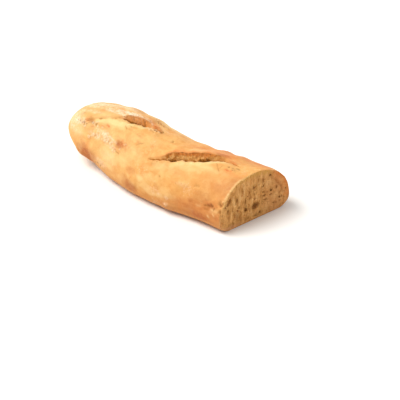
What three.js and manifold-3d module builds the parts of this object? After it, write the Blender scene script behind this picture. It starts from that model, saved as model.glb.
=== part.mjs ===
// The long end of a cut baguette: one solid loaf with a rounded tip, two
// slashes that opened in the oven, a flat underside and one oblique knife cut.
//
// Millimetres, +Z up. +X runs along the loaf from the tip to the cut, +Y across
// it to the side that the ears lean from. The origin is the centre of the
// loaf's footprint box, on the surface it lies on.

import * as THREE from 'three';
import { ParametricGeometry } from 'three/addons/geometries/ParametricGeometry.js';
import { mergeVertices } from 'three/addons/utils/BufferGeometryUtils.js';
import Module from 'manifold-3d';

// ---------------------------------------------------------------- dimensions

// Loaf body, before the cut. x is counted from the tip.
const BODY_LENGTH = 228;            // the uncut blank that the knife shortens
const STATION = [ 0, 22.6, 56.4, 94.8, 135.5, 176.1, 225.8 ];       // along x
const AXIS_Y = [ - 17.1, - 14.6, - 12.2, - 16.2, - 16.5, - 11.6, - 12.2 ]; // the loaf's bend
const HALF_WIDTH = [ 32.8, 33.8, 37.6, 40.6, 40.1, 40.2, 39.4 ];
const CROWN = [ 63.2, 59.3, 54.4, 49.4, 47.1, 48.5, 49.5 ];         // height of the crown
const TIP_LENGTH = 79.7;            // the tip rounds off over this length
const TIP_ROUND_PLAN = 3.23;        // superellipse powers of that rounding
const TIP_ROUND_SIDE = 1.83;
const TIP_LIFT = 10.9;              // how far the tip curls up off the table
const WAIST = 0.269;                // widest level, as a share of the crown
const ROUND_NEAR = 1.80;            // section powers: near shoulder, far shoulder, under side
const ROUND_FAR = 2.18;
const ROUND_UNDER = 2.94;
const CROWN_SHIFT = - 4.35;         // the crown leans to the near side
const FLATTENED = 2.5;              // dough that settled into the flat underside

// The two slashes. Each is an opening that slopes down to a crack, a torn wall
// over the crack and a raised ear behind the wall.
const TIP_SLASH = {
	x: [ 24, 40, 52, 62, 72, 84, 100 ],
	y: [ - 38, - 31, - 26, - 20, - 16.2, - 13, - 10.4 ],
	depth: 3.0, ear: 2.6, wall: 2.0, opening: 13, back: 12,
	reach: [ 36, 66, 77, 97 ],
};
const MID_SLASH = {
	x: [ 106, 120, 134, 148, 160, 172, 193 ],
	y: [ - 45.5, - 40.5, - 31.5, - 24.5, - 17.8, - 12.3, - 13 ],
	depth: 3.8, ear: 3.4, wall: 2.6, opening: 13, back: 13,
	reach: [ 110, 129, 154, 188 ],
};

// The sheared fold low on the near side, just before the cut.
const FOLD = { x: 186, around: 158, length: 9, width: 5.5, depth: 1.3 };

// Unevenness of the hand-shaped surface: height and wave lengths.
const UNEVEN = 0.35;
const WAVE_ALONG = 31;
const WAVE_ROUND = 47;              // degrees

// Lumps and hollows: [ x, rise ], on the far shoulder and low on the near side.
const LUMP_LENGTH = 6.5;
const LUMP_WIDTH = 17;              // degrees
const FAR_SHOULDER = { around: 47, lumps: [ [ 14, 0.7 ], [ 38, - 0.6 ], [ 50, 1.0 ], [ 63, - 1.0 ], [ 78, 1.1 ], [ 97, - 0.3 ],
	[ 121, - 0.6 ], [ 137, 0.9 ], [ 155, 1.2 ], [ 166, - 0.7 ], [ 173, 0.9 ], [ 184, - 0.4 ], [ 205, 1.5 ] ] };
const NEAR_FOOT = { around: 200, lumps: [ [ 27, 1.9 ], [ 45, - 1.0 ], [ 66, 0.8 ], [ 140, 0.8 ] ] };

// The knife cut: where it crosses y = 0, and how far it is turned from square.
const CUT_X = 208.4;
const CUT_TURN = 11.7;              // degrees

// Facets
const TIP_RINGS = 10;
const TIP_RINGS_END = 12;
const BODY_RINGS = 42;
const ROWS = { far: 25, ear: 13, between: 8, near: 22 };

// ---------------------------------------------------------------- helpers

const DEG = Math.PI / 180;
const smooth = ( a, b, x ) => {

	const t = Math.min( 1, Math.max( 0, ( x - a ) / ( b - a ) ) );
	return t * t * ( 3 - 2 * t );

};

// A smooth curve through the values at given stations.
function along( xs, ys, x ) {

	const n = xs.length;
	x = Math.min( xs[ n - 1 ], Math.max( xs[ 0 ], x ) );
	let i = 0;
	while ( i < n - 2 && x > xs[ i + 1 ] ) i ++;
	const slope = ( k ) => {

		const a = Math.max( 0, k - 1 ), b = Math.min( n - 1, k + 1 );
		return ( ys[ b ] - ys[ a ] ) / ( xs[ b ] - xs[ a ] );

	};
	const h = xs[ i + 1 ] - xs[ i ], t = ( x - xs[ i ] ) / h;
	return ( 1 + 2 * t ) * ( 1 - t ) ** 2 * ys[ i ] + t * ( 1 - t ) ** 2 * h * slope( i )
		+ t * t * ( 3 - 2 * t ) * ys[ i + 1 ] + t * t * ( t - 1 ) * h * slope( i + 1 );

}

// The plain loaf: x along it, phi round it in degrees (0 far side, 90 crown,
// 180 near side, 270 under).
function body( x, phi ) {

	const u = Math.min( 1, Math.max( 0, x / TIP_LENGTH ) );
	const plan = ( 1 - ( 1 - u ) ** TIP_ROUND_PLAN ) ** ( 1 / TIP_ROUND_PLAN );
	const side = ( 1 - ( 1 - u ) ** TIP_ROUND_SIDE ) ** ( 1 / TIP_ROUND_SIDE );
	const c = Math.cos( phi * DEG ), s = Math.sin( phi * DEG );
	const crown = along( STATION, CROWN, x );
	const waist = WAIST * crown;
	const share = 0.5 - 0.5 * c;
	const n = s >= 0 ? ROUND_FAR * ( 1 - share ) + ROUND_NEAR * share : ROUND_UNDER;
	const yy = Math.sign( c ) * Math.abs( c ) ** ( 2 / n );
	const zz = Math.sign( s ) * Math.abs( s ) ** ( 2 / n );
	const reach = s >= 0 ? crown - waist : waist + FLATTENED;
	return [
		x,
		along( STATION, AXIS_Y, x ) + plan * ( along( STATION, HALF_WIDTH, x ) * yy + CROWN_SHIFT * Math.max( 0, zz ) ),
		waist + reach * zz * side + TIP_LIFT * ( 1 - u ) ** 2,
	];

}

// The angle round the loaf at which it stands over the plan line y.
function angleAt( x, y ) {

	let a = 15, b = 165;
	for ( let k = 0; k < 32; k ++ ) {

		const m = ( a + b ) / 2;
		if ( body( x, m )[ 1 ] > y ) a = m; else b = m;

	}

	return ( a + b ) / 2;

}

// Height of a slash's relief at a plan point: an opening that runs down to the
// crack, the wall, and the ear that dies out behind it.
function slashRelief( slash, x, y ) {

	const [ start, full, wane, end ] = slash.reach;
	const strength = smooth( start, full, x ) * ( 1 - smooth( wane, end, x ) );
	if ( strength <= 0 ) return 0;
	const slope = ( along( slash.x, slash.y, x + 1 ) - along( slash.x, slash.y, x - 1 ) ) / 2;
	const v = ( y - along( slash.x, slash.y, x ) ) / Math.hypot( 1, slope );
	let h;
	if ( v < 0 ) h = - slash.depth * Math.max( 0, 1 + v / slash.opening ) ** 1.7;
	else if ( v < slash.wall ) h = - slash.depth + ( slash.depth + slash.ear ) * smooth( - 0.3 * slash.wall, slash.wall, v );
	else h = slash.ear * Math.exp( - ( ( ( v - slash.wall ) / slash.back ) ** 2 ) );
	return strength * h;

}

// The baked loaf: the plain body with its slashes, fold and unevenness.
function loaf( x, phi ) {

	const p = body( x, phi );
	const c = Math.cos( phi * DEG ), s = Math.sin( phi * DEG );
	const top = smooth( 0, 0.35, s );
	const lean = Math.hypot( 0.35 * c, Math.max( s, 0.2 ) );
	let rise = top * ( slashRelief( TIP_SLASH, p[ 0 ], p[ 1 ] ) + slashRelief( MID_SLASH, p[ 0 ], p[ 1 ] ) );
	p[ 1 ] += rise * 0.35 * c / lean;
	p[ 2 ] += rise * Math.max( s, 0 ) / lean;

	const away = Math.hypot( ( x - FOLD.x ) / FOLD.length, ( phi - FOLD.around ) / FOLD.width );
	const wavy = UNEVEN * smooth( 4, 30, x ) * smooth( - 0.5, 0.2, s ) * (
		Math.sin( 2 * Math.PI * x / WAVE_ALONG + phi * DEG ) * Math.cos( 2 * Math.PI * phi / WAVE_ROUND )
		+ 0.7 * Math.sin( 2 * Math.PI * x / ( 1.7 * WAVE_ALONG ) + 2.1 ) * Math.sin( 2 * Math.PI * phi / ( 1.6 * WAVE_ROUND ) ) );
	rise = wavy - FOLD.depth * Math.exp( - away * away );
	for ( const { around, lumps } of [ FAR_SHOULDER, NEAR_FOOT ] ) for ( const [ at, high ] of lumps )
		rise += high * Math.exp( - ( ( ( x - at ) / LUMP_LENGTH ) ** 2 ) - ( ( phi - around ) / LUMP_WIDTH ) ** 2 );
	p[ 1 ] += rise * c;
	p[ 2 ] += rise * s;
	return p;

}

// Rows of facets follow the two cracks, so that each wall keeps a crisp edge.
function crackAngle( slash, x ) {

	const x0 = slash.x[ 0 ], x1 = slash.x[ slash.x.length - 1 ];
	const at = Math.min( x1, Math.max( x0, x ) );
	return angleAt( at, along( slash.x, slash.y, at ) );

}

const rowCount = ROWS.far + ROWS.ear + ROWS.between + ROWS.ear + ROWS.near;
function rowAngle( row, x ) {

	const tipCrack = crackAngle( TIP_SLASH, x ) - 24 * smooth( 100, 150, x );
	const midCrack = crackAngle( MID_SLASH, x ) + 26 * ( 1 - smooth( 60, 106, x ) );
	const angles = [ - 90, tipCrack - 8, tipCrack + 4.5, midCrack - 8, midCrack + 4.5, 270 ];
	const counts = [ ROWS.far, ROWS.ear, ROWS.between, ROWS.ear, ROWS.near ];
	let r = row;
	for ( let k = 0; k < counts.length; k ++ ) {

		if ( r <= counts[ k ] || k === counts.length - 1 ) return angles[ k ] + ( angles[ k + 1 ] - angles[ k ] ) * r / counts[ k ];
		r -= counts[ k ];

	}

}

// ---------------------------------------------------------------- the solid

const ringCount = TIP_RINGS + BODY_RINGS;
function surface( u, v, target ) {

	const ring = Math.round( v * ( ringCount + 1 ) );
	const row = Math.round( u * rowCount ) % rowCount;
	let x;
	if ( ring <= TIP_RINGS ) x = TIP_RINGS_END * ( ring / TIP_RINGS ) ** 2;
	else x = TIP_RINGS_END + ( BODY_LENGTH - TIP_RINGS_END ) * ( Math.min( ring, ringCount ) - TIP_RINGS ) / BODY_RINGS;
	if ( ring === 0 ) {

		const tip = body( 0, 90 );
		target.set( tip[ 0 ], tip[ 1 ], tip[ 2 ] );

	} else if ( ring > ringCount ) {

		target.set( BODY_LENGTH, along( STATION, AXIS_Y, BODY_LENGTH ), WAIST * along( STATION, CROWN, BODY_LENGTH ) );

	} else {

		const p = loaf( x, rowAngle( row, x ) );
		target.set( p[ 0 ], p[ 1 ], p[ 2 ] );

	}

}

const wasm = await Module();
wasm.setup();

function toSolid( geometry ) {

	const g = geometry.clone();
	g.deleteAttribute( 'normal' );
	g.deleteAttribute( 'uv' );
	const merged = mergeVertices( g, 1e-4 );
	const index = merged.index.array;
	const tris = [];
	for ( let i = 0; i < index.length; i += 3 ) {

		const [ a, b, c ] = [ index[ i ], index[ i + 1 ], index[ i + 2 ] ];
		if ( a !== b && b !== c && c !== a ) tris.push( a, b, c );

	}

	// Faces point out when the enclosed volume is positive.
	const v = merged.attributes.position.array;
	let volume = 0;
	for ( let i = 0; i < tris.length; i += 3 ) {

		const [ a, b, c ] = [ 3 * tris[ i ], 3 * tris[ i + 1 ], 3 * tris[ i + 2 ] ];
		volume += v[ a ] * ( v[ b + 1 ] * v[ c + 2 ] - v[ b + 2 ] * v[ c + 1 ] )
			- v[ a + 1 ] * ( v[ b ] * v[ c + 2 ] - v[ b + 2 ] * v[ c ] )
			+ v[ a + 2 ] * ( v[ b ] * v[ c + 1 ] - v[ b + 1 ] * v[ c ] );

	}

	if ( volume < 0 ) for ( let i = 0; i < tris.length; i += 3 ) [ tris[ i + 1 ], tris[ i + 2 ] ] = [ tris[ i + 2 ], tris[ i + 1 ] ];
	return new wasm.Manifold( new wasm.Mesh( {
		numProp: 3,
		vertProperties: Float32Array.from( v ),
		triVerts: Uint32Array.from( tris ),
	} ) );

}

const blank = toSolid( new ParametricGeometry( surface, rowCount, ringCount + 1 ) );

// The table flattens the underside.
const TABLE = 60;
const table = new THREE.BoxGeometry( 2 * BODY_LENGTH, 2 * BODY_LENGTH, TABLE );
table.translate( BODY_LENGTH / 2, 0, - TABLE / 2 );

// The knife takes off the end.
const KNIFE = 120;
const knife = new THREE.BoxGeometry( KNIFE, 3 * KNIFE, 2 * KNIFE );
knife.translate( KNIFE / 2, 0, 0 );
knife.rotateZ( - CUT_TURN * DEG );
knife.translate( CUT_X, 0, 0 );

const solid = blank.subtract( toSolid( table ) ).subtract( toSolid( knife ) );

const out = solid.getMesh();
const geometry = new THREE.BufferGeometry();
geometry.setAttribute( 'position', new THREE.BufferAttribute( Float32Array.from( out.vertProperties ), 3 ) );
geometry.setIndex( new THREE.BufferAttribute( Uint32Array.from( out.triVerts ), 1 ) );

// Origin: centre of the footprint box, on the table.
geometry.computeBoundingBox();
const { min, max } = geometry.boundingBox;
geometry.translate( - ( min.x + max.x ) / 2, - ( min.y + max.y ) / 2, - min.z );
geometry.computeVertexNormals();

const crust = new THREE.MeshStandardMaterial( { color: 0xe6ad6a, roughness: 0.72, metalness: 0 } );
const mesh = new THREE.Mesh( geometry, crust );
mesh.name = 'loaf';

const baguette = new THREE.Group();
baguette.name = 'baguette';
baguette.add( mesh );

export default baguette;
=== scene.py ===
import math

import bpy
import numpy as np
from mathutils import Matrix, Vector
from mathutils.geometry import delaunay_2d_cdt

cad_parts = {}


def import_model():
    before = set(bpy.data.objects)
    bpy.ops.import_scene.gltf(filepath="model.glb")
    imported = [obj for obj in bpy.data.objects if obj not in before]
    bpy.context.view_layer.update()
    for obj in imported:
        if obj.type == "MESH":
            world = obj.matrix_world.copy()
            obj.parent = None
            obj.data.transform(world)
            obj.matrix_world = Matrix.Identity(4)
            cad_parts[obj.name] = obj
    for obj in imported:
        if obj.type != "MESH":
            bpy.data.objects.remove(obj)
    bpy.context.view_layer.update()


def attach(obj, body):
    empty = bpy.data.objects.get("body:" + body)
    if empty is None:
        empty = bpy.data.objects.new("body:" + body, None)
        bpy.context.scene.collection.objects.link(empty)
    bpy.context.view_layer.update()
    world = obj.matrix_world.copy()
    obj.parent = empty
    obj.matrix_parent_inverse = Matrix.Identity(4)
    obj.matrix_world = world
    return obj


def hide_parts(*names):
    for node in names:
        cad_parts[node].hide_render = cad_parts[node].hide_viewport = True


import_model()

# ===================================================================== shape
# Millimetres, x counted from the loaf's tip, as in the solid. Angles round the
# loaf are in degrees: 0 far side, 90 crown, 180 near side, 270 underside.

# --- shape begins
SHIFT_X, SHIFT_Y = 107.043, -14.477      # the origin, in the loaf's own x and y

STATION = [0, 22.6, 56.4, 94.8, 135.5, 176.1, 225.8]
AXIS_Y = [-17.1, -14.6, -12.2, -16.2, -16.5, -11.6, -12.2]
HALF_WIDTH = [32.8, 33.8, 37.6, 40.6, 40.1, 40.2, 39.4]
CROWN = [63.2, 59.3, 54.4, 49.4, 47.1, 48.5, 49.5]
TIP_LENGTH, TIP_ROUND_PLAN, TIP_ROUND_SIDE, TIP_LIFT = 79.7, 3.23, 1.83, 10.9
WAIST, ROUND_NEAR, ROUND_FAR, ROUND_UNDER = 0.269, 1.80, 2.18, 2.94
CROWN_SHIFT, FLATTENED = -4.35, 2.5

# Each slash: its crack's path, how strong it is along x, the depth of the
# crack, the height of the ear, and the spread of the opened side.
TIP_SLASH = dict(
    x=[24, 40, 52, 62, 72, 84, 100], y=[-38, -31.0, -26.0, -20.0, -16.2, -13, -10.4],
    depth=3.4, ear=3.4, opening=14.5, tone=1.0, thin=0.3, torn=0.70, dusty=1.0, lip_cut=0.0, seed=11,
    sx=[20, 26, 40, 54, 59.6, 63.2, 67.0, 74, 81, 86, 91, 97, 106], strength=[0, .15, .17, .17, .20, .78, 1, 1, .86, .34, .14, .05, 0],
    pockets=[(68.6, 2.9, 0.95), (73, 2.2, 0.35), (80.2, 2.6, 0.75)],
    streaks=[(79.8, -1.4, 1.3, 0.52), (74.2, -1.2, 0.9, 0.22), (69.6, -1.0, 1.4, 0.36)],
    flaps=[(64.4, -0.8, 1.6, 0.40), (87.0, -0.8, 1.0, 0.30), (76.6, -1.0, 0.9, 0.45)], warm=0.85, bays=[(68.6, 2.8, 0.25), (81.0, 2.2, 0.5)], ridge=0.0, pale_from=(0, 1))
MID_SLASH = dict(
    x=[106, 120, 134, 148, 160, 172, 193], y=[-45.5, -40.5, -31.5, -24.5, -17.8, -12.3, -13.0],
    depth=4.2, ear=4.0, opening=16.0, tone=0.80, thin=1.0, torn=1.0, dusty=0.12, lip_cut=0.9, seed=23,
    sx=[107, 112, 119, 122, 125, 128.5, 156, 161, 166, 172, 178, 186, 195], strength=[0, .12, .16, .32, .60, .89, 1, .80, .56, .34, .22, .12, 0],
    pockets=[(121.0, 1.8, 0.5), (131.0, 2.6, 1.15), (141, 1.3, 0.7), (155.4, 5.0, 1.5), (170, 3.0, 0.4)],
    streaks=[(124.8, 0.5, 1.5, 0.52), (131.0, 0.2, 1.6, 0.50), (138.6, 0.1, 1.1, 0.26), (146.0, -0.1, 1.0, 0.20), (151.5, 0.5, 2.2, 0.34), (166, 0.8, 1.4, 0.20)],
    flaps=[(127.6, 1.1, 1.0, 0.60)], warm=0.15, bays=[(132.2, 2.6, 1.7), (141.2, 1.3, 0.8), (154.2, 5.6, 2.5), (120.5, 1.2, 0.6), (115.5, 1.0, 0.5)], ridge=0.85, pale_from=(129, 143))

FOLD = dict(x=186, around=158, length=9, width=5.5, depth=1.3)
UNEVEN, WAVE_ALONG, WAVE_ROUND = 0.35, 31, 47
LUMP_LENGTH, LUMP_WIDTH = 6.5, 17
FAR_SHOULDER = (47, [(14, .7), (38, -.6), (50, 1.0), (63, -1.0), (78, 1.1), (97, -.3), (121, -.6), (137, .9), (155, 1.2), (166, -.7), (173, .9), (184, -.4), (205, 1.5)])
NEAR_FOOT = (200, [(27, 1.9), (45, -1.0), (66, .8), (140, .8)])

CUT_X, CUT_TURN = 208.4, math.radians(11.7)
CUT_N = np.array([math.cos(CUT_TURN), -math.sin(CUT_TURN), 0.0])      # out of the cut
CUT_S = np.array([math.sin(CUT_TURN), math.cos(CUT_TURN), 0.0])       # across the cut


def smooth(a, b, x):
    t = np.clip((x - a) / (b - a), 0, 1)
    return t * t * (3 - 2 * t)


def along(xs, ys, x):
    """A smooth curve through ys at the stations xs."""
    xs, ys = np.asarray(xs, float), np.asarray(ys, float)
    x = np.clip(x, xs[0], xs[-1])
    m = np.empty_like(ys)
    m[1:-1] = (ys[2:] - ys[:-2]) / (xs[2:] - xs[:-2])
    m[0] = (ys[1] - ys[0]) / (xs[1] - xs[0])
    m[-1] = (ys[-1] - ys[-2]) / (xs[-1] - xs[-2])
    i = np.clip(np.searchsorted(xs, x, side="left") - 1, 0, len(xs) - 2)
    h = xs[i + 1] - xs[i]
    t = (x - xs[i]) / h
    return ((1 + 2 * t) * (1 - t) ** 2 * ys[i] + t * (1 - t) ** 2 * h * m[i]
            + t * t * (3 - 2 * t) * ys[i + 1] + t * t * (t - 1) * h * m[i + 1])


def body(x, phi):
    """The plain loaf, as an (n, 3) array."""
    a = np.radians(phi)
    u = np.clip(x / TIP_LENGTH, 0, 1)
    plan = (1 - (1 - u) ** TIP_ROUND_PLAN) ** (1 / TIP_ROUND_PLAN)
    side = (1 - (1 - u) ** TIP_ROUND_SIDE) ** (1 / TIP_ROUND_SIDE)
    c, s = np.cos(a), np.sin(a)
    crown = along(STATION, CROWN, x)
    waist = WAIST * crown
    share = 0.5 - 0.5 * c
    up = s >= 0
    n = np.where(up, ROUND_FAR * (1 - share) + ROUND_NEAR * share, ROUND_UNDER)
    yy = np.sign(c) * np.abs(c) ** (2 / n)
    zz = np.sign(s) * np.abs(s) ** (2 / n)
    reach = np.where(up, crown - waist, waist + FLATTENED)
    y = along(STATION, AXIS_Y, x) + plan * (along(STATION, HALF_WIDTH, x) * yy + CROWN_SHIFT * np.maximum(0, zz))
    z = waist + reach * zz * side + TIP_LIFT * (1 - u) ** 2
    return np.stack([x + 0 * phi, y, z], -1)


def angle_at(x, y):
    """The angle round the loaf at which it stands over the plan line y."""
    a, b = np.full_like(x, 15.0), np.full_like(x, 165.0)
    for _ in range(30):
        m = (a + b) / 2
        far = body(x, m)[:, 1] > y
        a, b = np.where(far, m, a), np.where(far, b, m)
    return (a + b) / 2


def _hash(i, j, k, seed):
    h = (i.astype(np.uint32) * np.uint32(0x8DA6B343)) ^ (j.astype(np.uint32) * np.uint32(0xD8163841))
    h = h ^ (k.astype(np.uint32) * np.uint32(0xCB1AB31F)) ^ np.uint32((seed * 0x9E3779B1) & 0xFFFFFFFF)
    h ^= h >> np.uint32(15)
    h *= np.uint32(0x2C1B3C6D)
    h ^= h >> np.uint32(12)
    h *= np.uint32(0x297A2D39)
    h ^= h >> np.uint32(15)
    return h


def noise(p, seed=0):
    """Gradient noise at (n, 3) points, about -1 to 1."""
    p = np.asarray(p, float)
    i = np.floor(p).astype(np.int64)
    f = p - i
    u = f * f * f * (f * (f * 6 - 15) + 10)
    out = np.zeros(len(p))
    for dx in (0, 1):
        for dy in (0, 1):
            for dz in (0, 1):
                h = _hash(i[:, 0] + dx, i[:, 1] + dy, i[:, 2] + dz, seed)
                gx = (h & np.uint32(1023)) / 511.5 - 1
                gy = ((h >> np.uint32(10)) & np.uint32(1023)) / 511.5 - 1
                gz = ((h >> np.uint32(20)) & np.uint32(1023)) / 511.5 - 1
                w = (u[:, 0] if dx else 1 - u[:, 0]) * (u[:, 1] if dy else 1 - u[:, 1]) * (u[:, 2] if dz else 1 - u[:, 2])
                out += w * (gx * (f[:, 0] - dx) + gy * (f[:, 1] - dy) + gz * (f[:, 2] - dz))
    return out * 1.3


def fbm(p, size, octaves=3, seed=0, gain=0.5):
    p = np.asarray(p, float) / size
    total, amp, out = 0.0, 1.0, 0.0
    for k in range(octaves):
        out = out + amp * noise(p * 2.0 ** k + 17.3 * k, seed + k)
        total += amp
        amp *= gain
    return out / total


def slash_profile(v, ear, depth):
    """How the surface lies across a slash: v is the plain distance across it,
    positive behind the crack. Returns the sideways shift and the height."""
    # plain v:   opening ........ crack ... wall ........... lip ....... back
    pv = np.array([-14.0, -9.0, -5.0, -2.2, -0.9, -0.35, 0.0, 0.45, 0.9, 1.5, 2.1, 2.6, 3.1, 3.8, 5.5, 8.5, 12.5, 18.0, 26.0])
    hd = np.array([0.0, 0.16, 0.42, 0.70, 0.88, 1.05, 1.42, 1.48, 1.02, 0.52, 0.05, 0.0, 0.0, 0.0, 0.0, 0.0, 0.0, 0.0, 0.0])      # share of the depth
    he = np.array([0.0, 0.0, 0.0, 0.0, 0.0, 0.0, 0.0, 0.0, 0.0, 0.0, 0.25, 0.70, 0.93, 1.0, 0.97, 0.76, 0.42, 0.12, 0.0])         # share of the ear
    sv = np.array([0.0, 0.0, 0.0, 0.05, 0.10, 0.15, 0.25, 0.35, 0.20, 0.0, -0.15, -0.45, -0.70, -0.75, -0.5, -0.2, 0.0, 0.0, 0.0])  # sideways
    return np.interp(v, pv, sv), ear * np.interp(v, pv, he) - depth * np.interp(v, pv, hd)


def slash_relief(S, p, seed_shift=0):
    """Shift of the surface points p near a slash, with masks for the finish."""
    x, y = p[:, 0], p[:, 1]
    strength = np.interp(x, S["sx"], S["strength"])
    on = (strength > 0) & (x > S["sx"][0]) & (x < S["sx"][-1])
    slope = (along(S["x"], S["y"], x + 1) - along(S["x"], S["y"], x - 1)) / 2
    long = np.hypot(1, slope)
    v = (y - along(S["x"], S["y"], x)) / long
    # the crack wanders, and its depth and the ear's height are uneven
    q = np.stack([x, np.zeros_like(x), np.zeros_like(x)], -1)
    wander = 0.60 * fbm(q, 9.0, 3, S["seed"]) + 0.55 * fbm(q, 2.6, 2, S["seed"] + 5)
    deep = 1 + 0.45 * fbm(q, 5.0, 2, S["seed"] + 9)
    high = 1 + 0.20 * fbm(q, 8.0, 3, S["seed"] + 13)
    wander = wander + 0.45 * (1 - smooth(0.3, 0.8, strength)) * fbm(q, 1.7, 2, S["seed"] + 7)
    bay = sum(a * np.exp(-((x - at) / half) ** 4) for at, half, a in S["bays"])
    w = v + wander * np.exp(-(v / 4.0) ** 2) + bay * np.exp(-((v + 0.9) / 1.7) ** 2)
    narrow = 0.55 + 0.45 * smooth(0.1, 0.8, strength)
    pocket = sum(a * np.exp(-((x - at) / half) ** 4) for at, half, a in S["pockets"])
    side, height = slash_profile(w / narrow, S["ear"] * high, S["depth"] * deep)
    k = np.where(on, strength, 0)
    height = height - pocket * 0.8 * np.exp(-((w - 0.1) / 0.85) ** 2) - 0.80 * bay * np.exp(-((w + 0.7) / 1.15) ** 2)
    side, height = side * k, height * k
    # the torn wall is crumbly, the lip over it ragged
    onwall = np.exp(-((w - 1.5) / 1.5) ** 2) * smooth(0.1, 0.6, k)
    wall = np.stack([x, 2.3 * w, 0.3 * p[:, 2]], -1)
    side = side + onwall * (1 - 0.4 * S["warm"]) * (1.15 * fbm(wall, 3.4, 2, S["seed"] + 21) + 0.55 * fbm(wall, 1.5, 2, S["seed"] + 22))
    height = height + onwall * 0.45 * fbm(p, 1.7, 2, S["seed"] + 25)
    ragged = np.exp(-((w - 3.0) / 0.9) ** 2) * smooth(0.2, 0.8, k)
    height = height + ragged * 0.7 * fbm(q, 2.2, 2, S["seed"] + 27)
    tear = np.exp(-(w / 0.40) ** 2) * smooth(0.02, 0.12, k) * (1 - smooth(0.25, 0.6, k))
    height = height - tear * S["thin"] * np.maximum(0.60 + 1.3 * fbm(q, 2.6, 2, S["seed"] + 29), 0.1)
    crumbs = np.exp(-((w + 0.7) / 0.7) ** 2) * smooth(0.25, 0.8, k)
    height = height + crumbs * 0.75 * fbm(p * [1, 1, 0.2], 1.9, 2, S["seed"] + 30)
    shift = np.stack([-slope / long * side, side / long, height], -1)
    return shift, w / narrow, k


# Where the crust differs: x, angle round the loaf, half length (mm), half
# width (degrees), amount.
TOASTED = [
    (37, 186, 7.0, 13, 0.62), (30, 192, 8, 12, 0.50), (44, 192, 7, 10, 0.60), (34, 171, 8, 10, 0.42), (42, 176, 8, 10, 0.32), (27, 182, 6, 10, 0.40), (99, 180, 9, 11, 0.85), (97, 155, 6, 6, 0.36), (91, 168, 6, 6, 0.3),
    (75, 133, 5.5, 6.0, 0.75), (81, 131, 7, 5.5, 0.38), (150, 172, 16, 9, 0.35), (178, 170, 24, 12, 0.42), (166, 186, 22, 6, 0.50), (176, 180, 10, 5, 0.22), (164, 62, 14, 7, 0.30), (143, 75, 9, 5, 0.20), (175, 151, 12, 9, 0.28), (164, 160, 10, 6, 0.15), (184, 187, 14, 6, 0.35), (48, 174, 5, 6, 0.3),
    (178, 88, 6, 3.0, 0.4), (114, 54, 30, 9, 0.12), (160, 53, 9, 4, 0.30), (167, 79, 8, 5, 0.7), (93, 76, 5, 4.0, 0.40), (98, 80, 4, 4, 0.45), (165, 161, 3, 3.2, 0.3), (173, 181, 9, 6, 0.30), (150, 163, 8, 5, 0.12), (31, 162, 5, 6, 0.22), (41, 187, 6, 6, 0.25), (192, 138, 26, 34, 0.24), (186, 158, 4.5, 3.2, 0.7), (200, 118, 12, 12, 0.2), (190, 131, 7, 6, 0.2),
    (60, 60, 12, 7, 0.3), (34, 125, 6, 3.2, 0.55), (26, 132, 3, 2.5, 0.3), (30, 97, 16, 1.8, 0.3),
    (88, 106, 5, 2.0, 0.35), (92, 114, 5, 1.6, 0.3), (140, 128, 12, 5, 0.14), (205, 134, 9, 18, 0.30), (203, 112, 8, 9, 0.25), (198, 176, 8, 8, 0.3), (129, 158, 5, 5, 0.25), (123, 168, 8, 5, 0.3),
    (190, 60, 16, 14, 0.3), (205, 40, 14, 16, 0.3), (150, 30, 26, 14, 0.3), (70, 20, 30, 14, 0.35), (30, 40, 14, 12, 0.3),
    (20, 5, 14, 14, 0.5), (105, 8, 26, 10, 0.5), (185, 8, 24, 10, 0.55), (118, 178, 6, 6, 0.3), (136, 183, 5, 5, 0.4)]
PALER = [
    (50, 119, 9, 6, 0.55), (55, 110, 9, 5, 0.7), (63, 108, 8, 5, 0.7), (70, 103, 7, 4, 0.6), (25, 147, 9, 8, 0.30), (71, 171, 8, 7, 0.45), (64, 165, 7, 7, 0.2),
    (123, 171, 7, 7, 0.5), (138, 160, 7, 6, 0.35), (124, 129, 9, 6, 0.35), (162, 107, 12, 5, 0.5), (115, 139, 6, 4, 0.35), (189, 166, 5, 4, 0.28), (104, 100, 12, 8, 0.25),
    (72, 157, 9, 7, 0.38), (84, 150, 8, 6, 0.55), (110, 157, 4.5, 5, 0.95), (118, 150, 6, 5, 0.4), (60, 162, 9, 8, 0.25), (46, 103, 8, 7, 0.4), (66, 150, 10, 7, 0.5), (88, 142, 9, 7, 0.45), (96, 128, 9, 6, 0.4), (82, 50, 15, 9, 0.6),
    (108, 50, 15, 9, 0.5), (16, 150, 8, 13, 0.30), (30, 90, 14, 8, 0.5), (54, 70, 10, 7, 0.5),
    (128, 148, 10, 6, 0.2), (205, 150, 4, 16, 0.15), (132, 40, 14, 8, 0.3), (88, 44, 12, 6, 0.25), (170, 46, 9, 6, 0.3), (55, 22, 9, 8, 0.3),
    (116, 166, 6, 5, 0.5), (133, 171, 5, 5, 0.45), (50, 112, 10, 5, 0.5), (42, 118, 6, 4, 0.6), (62, 112, 10, 6, 0.4), (143, 165, 4, 4, 0.3),
    (12, 120, 12, 30, 0.3), (150, 118, 14, 5, 0.5), (168, 112, 12, 5, 0.5), (183, 108, 8, 4, 0.3)]
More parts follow.
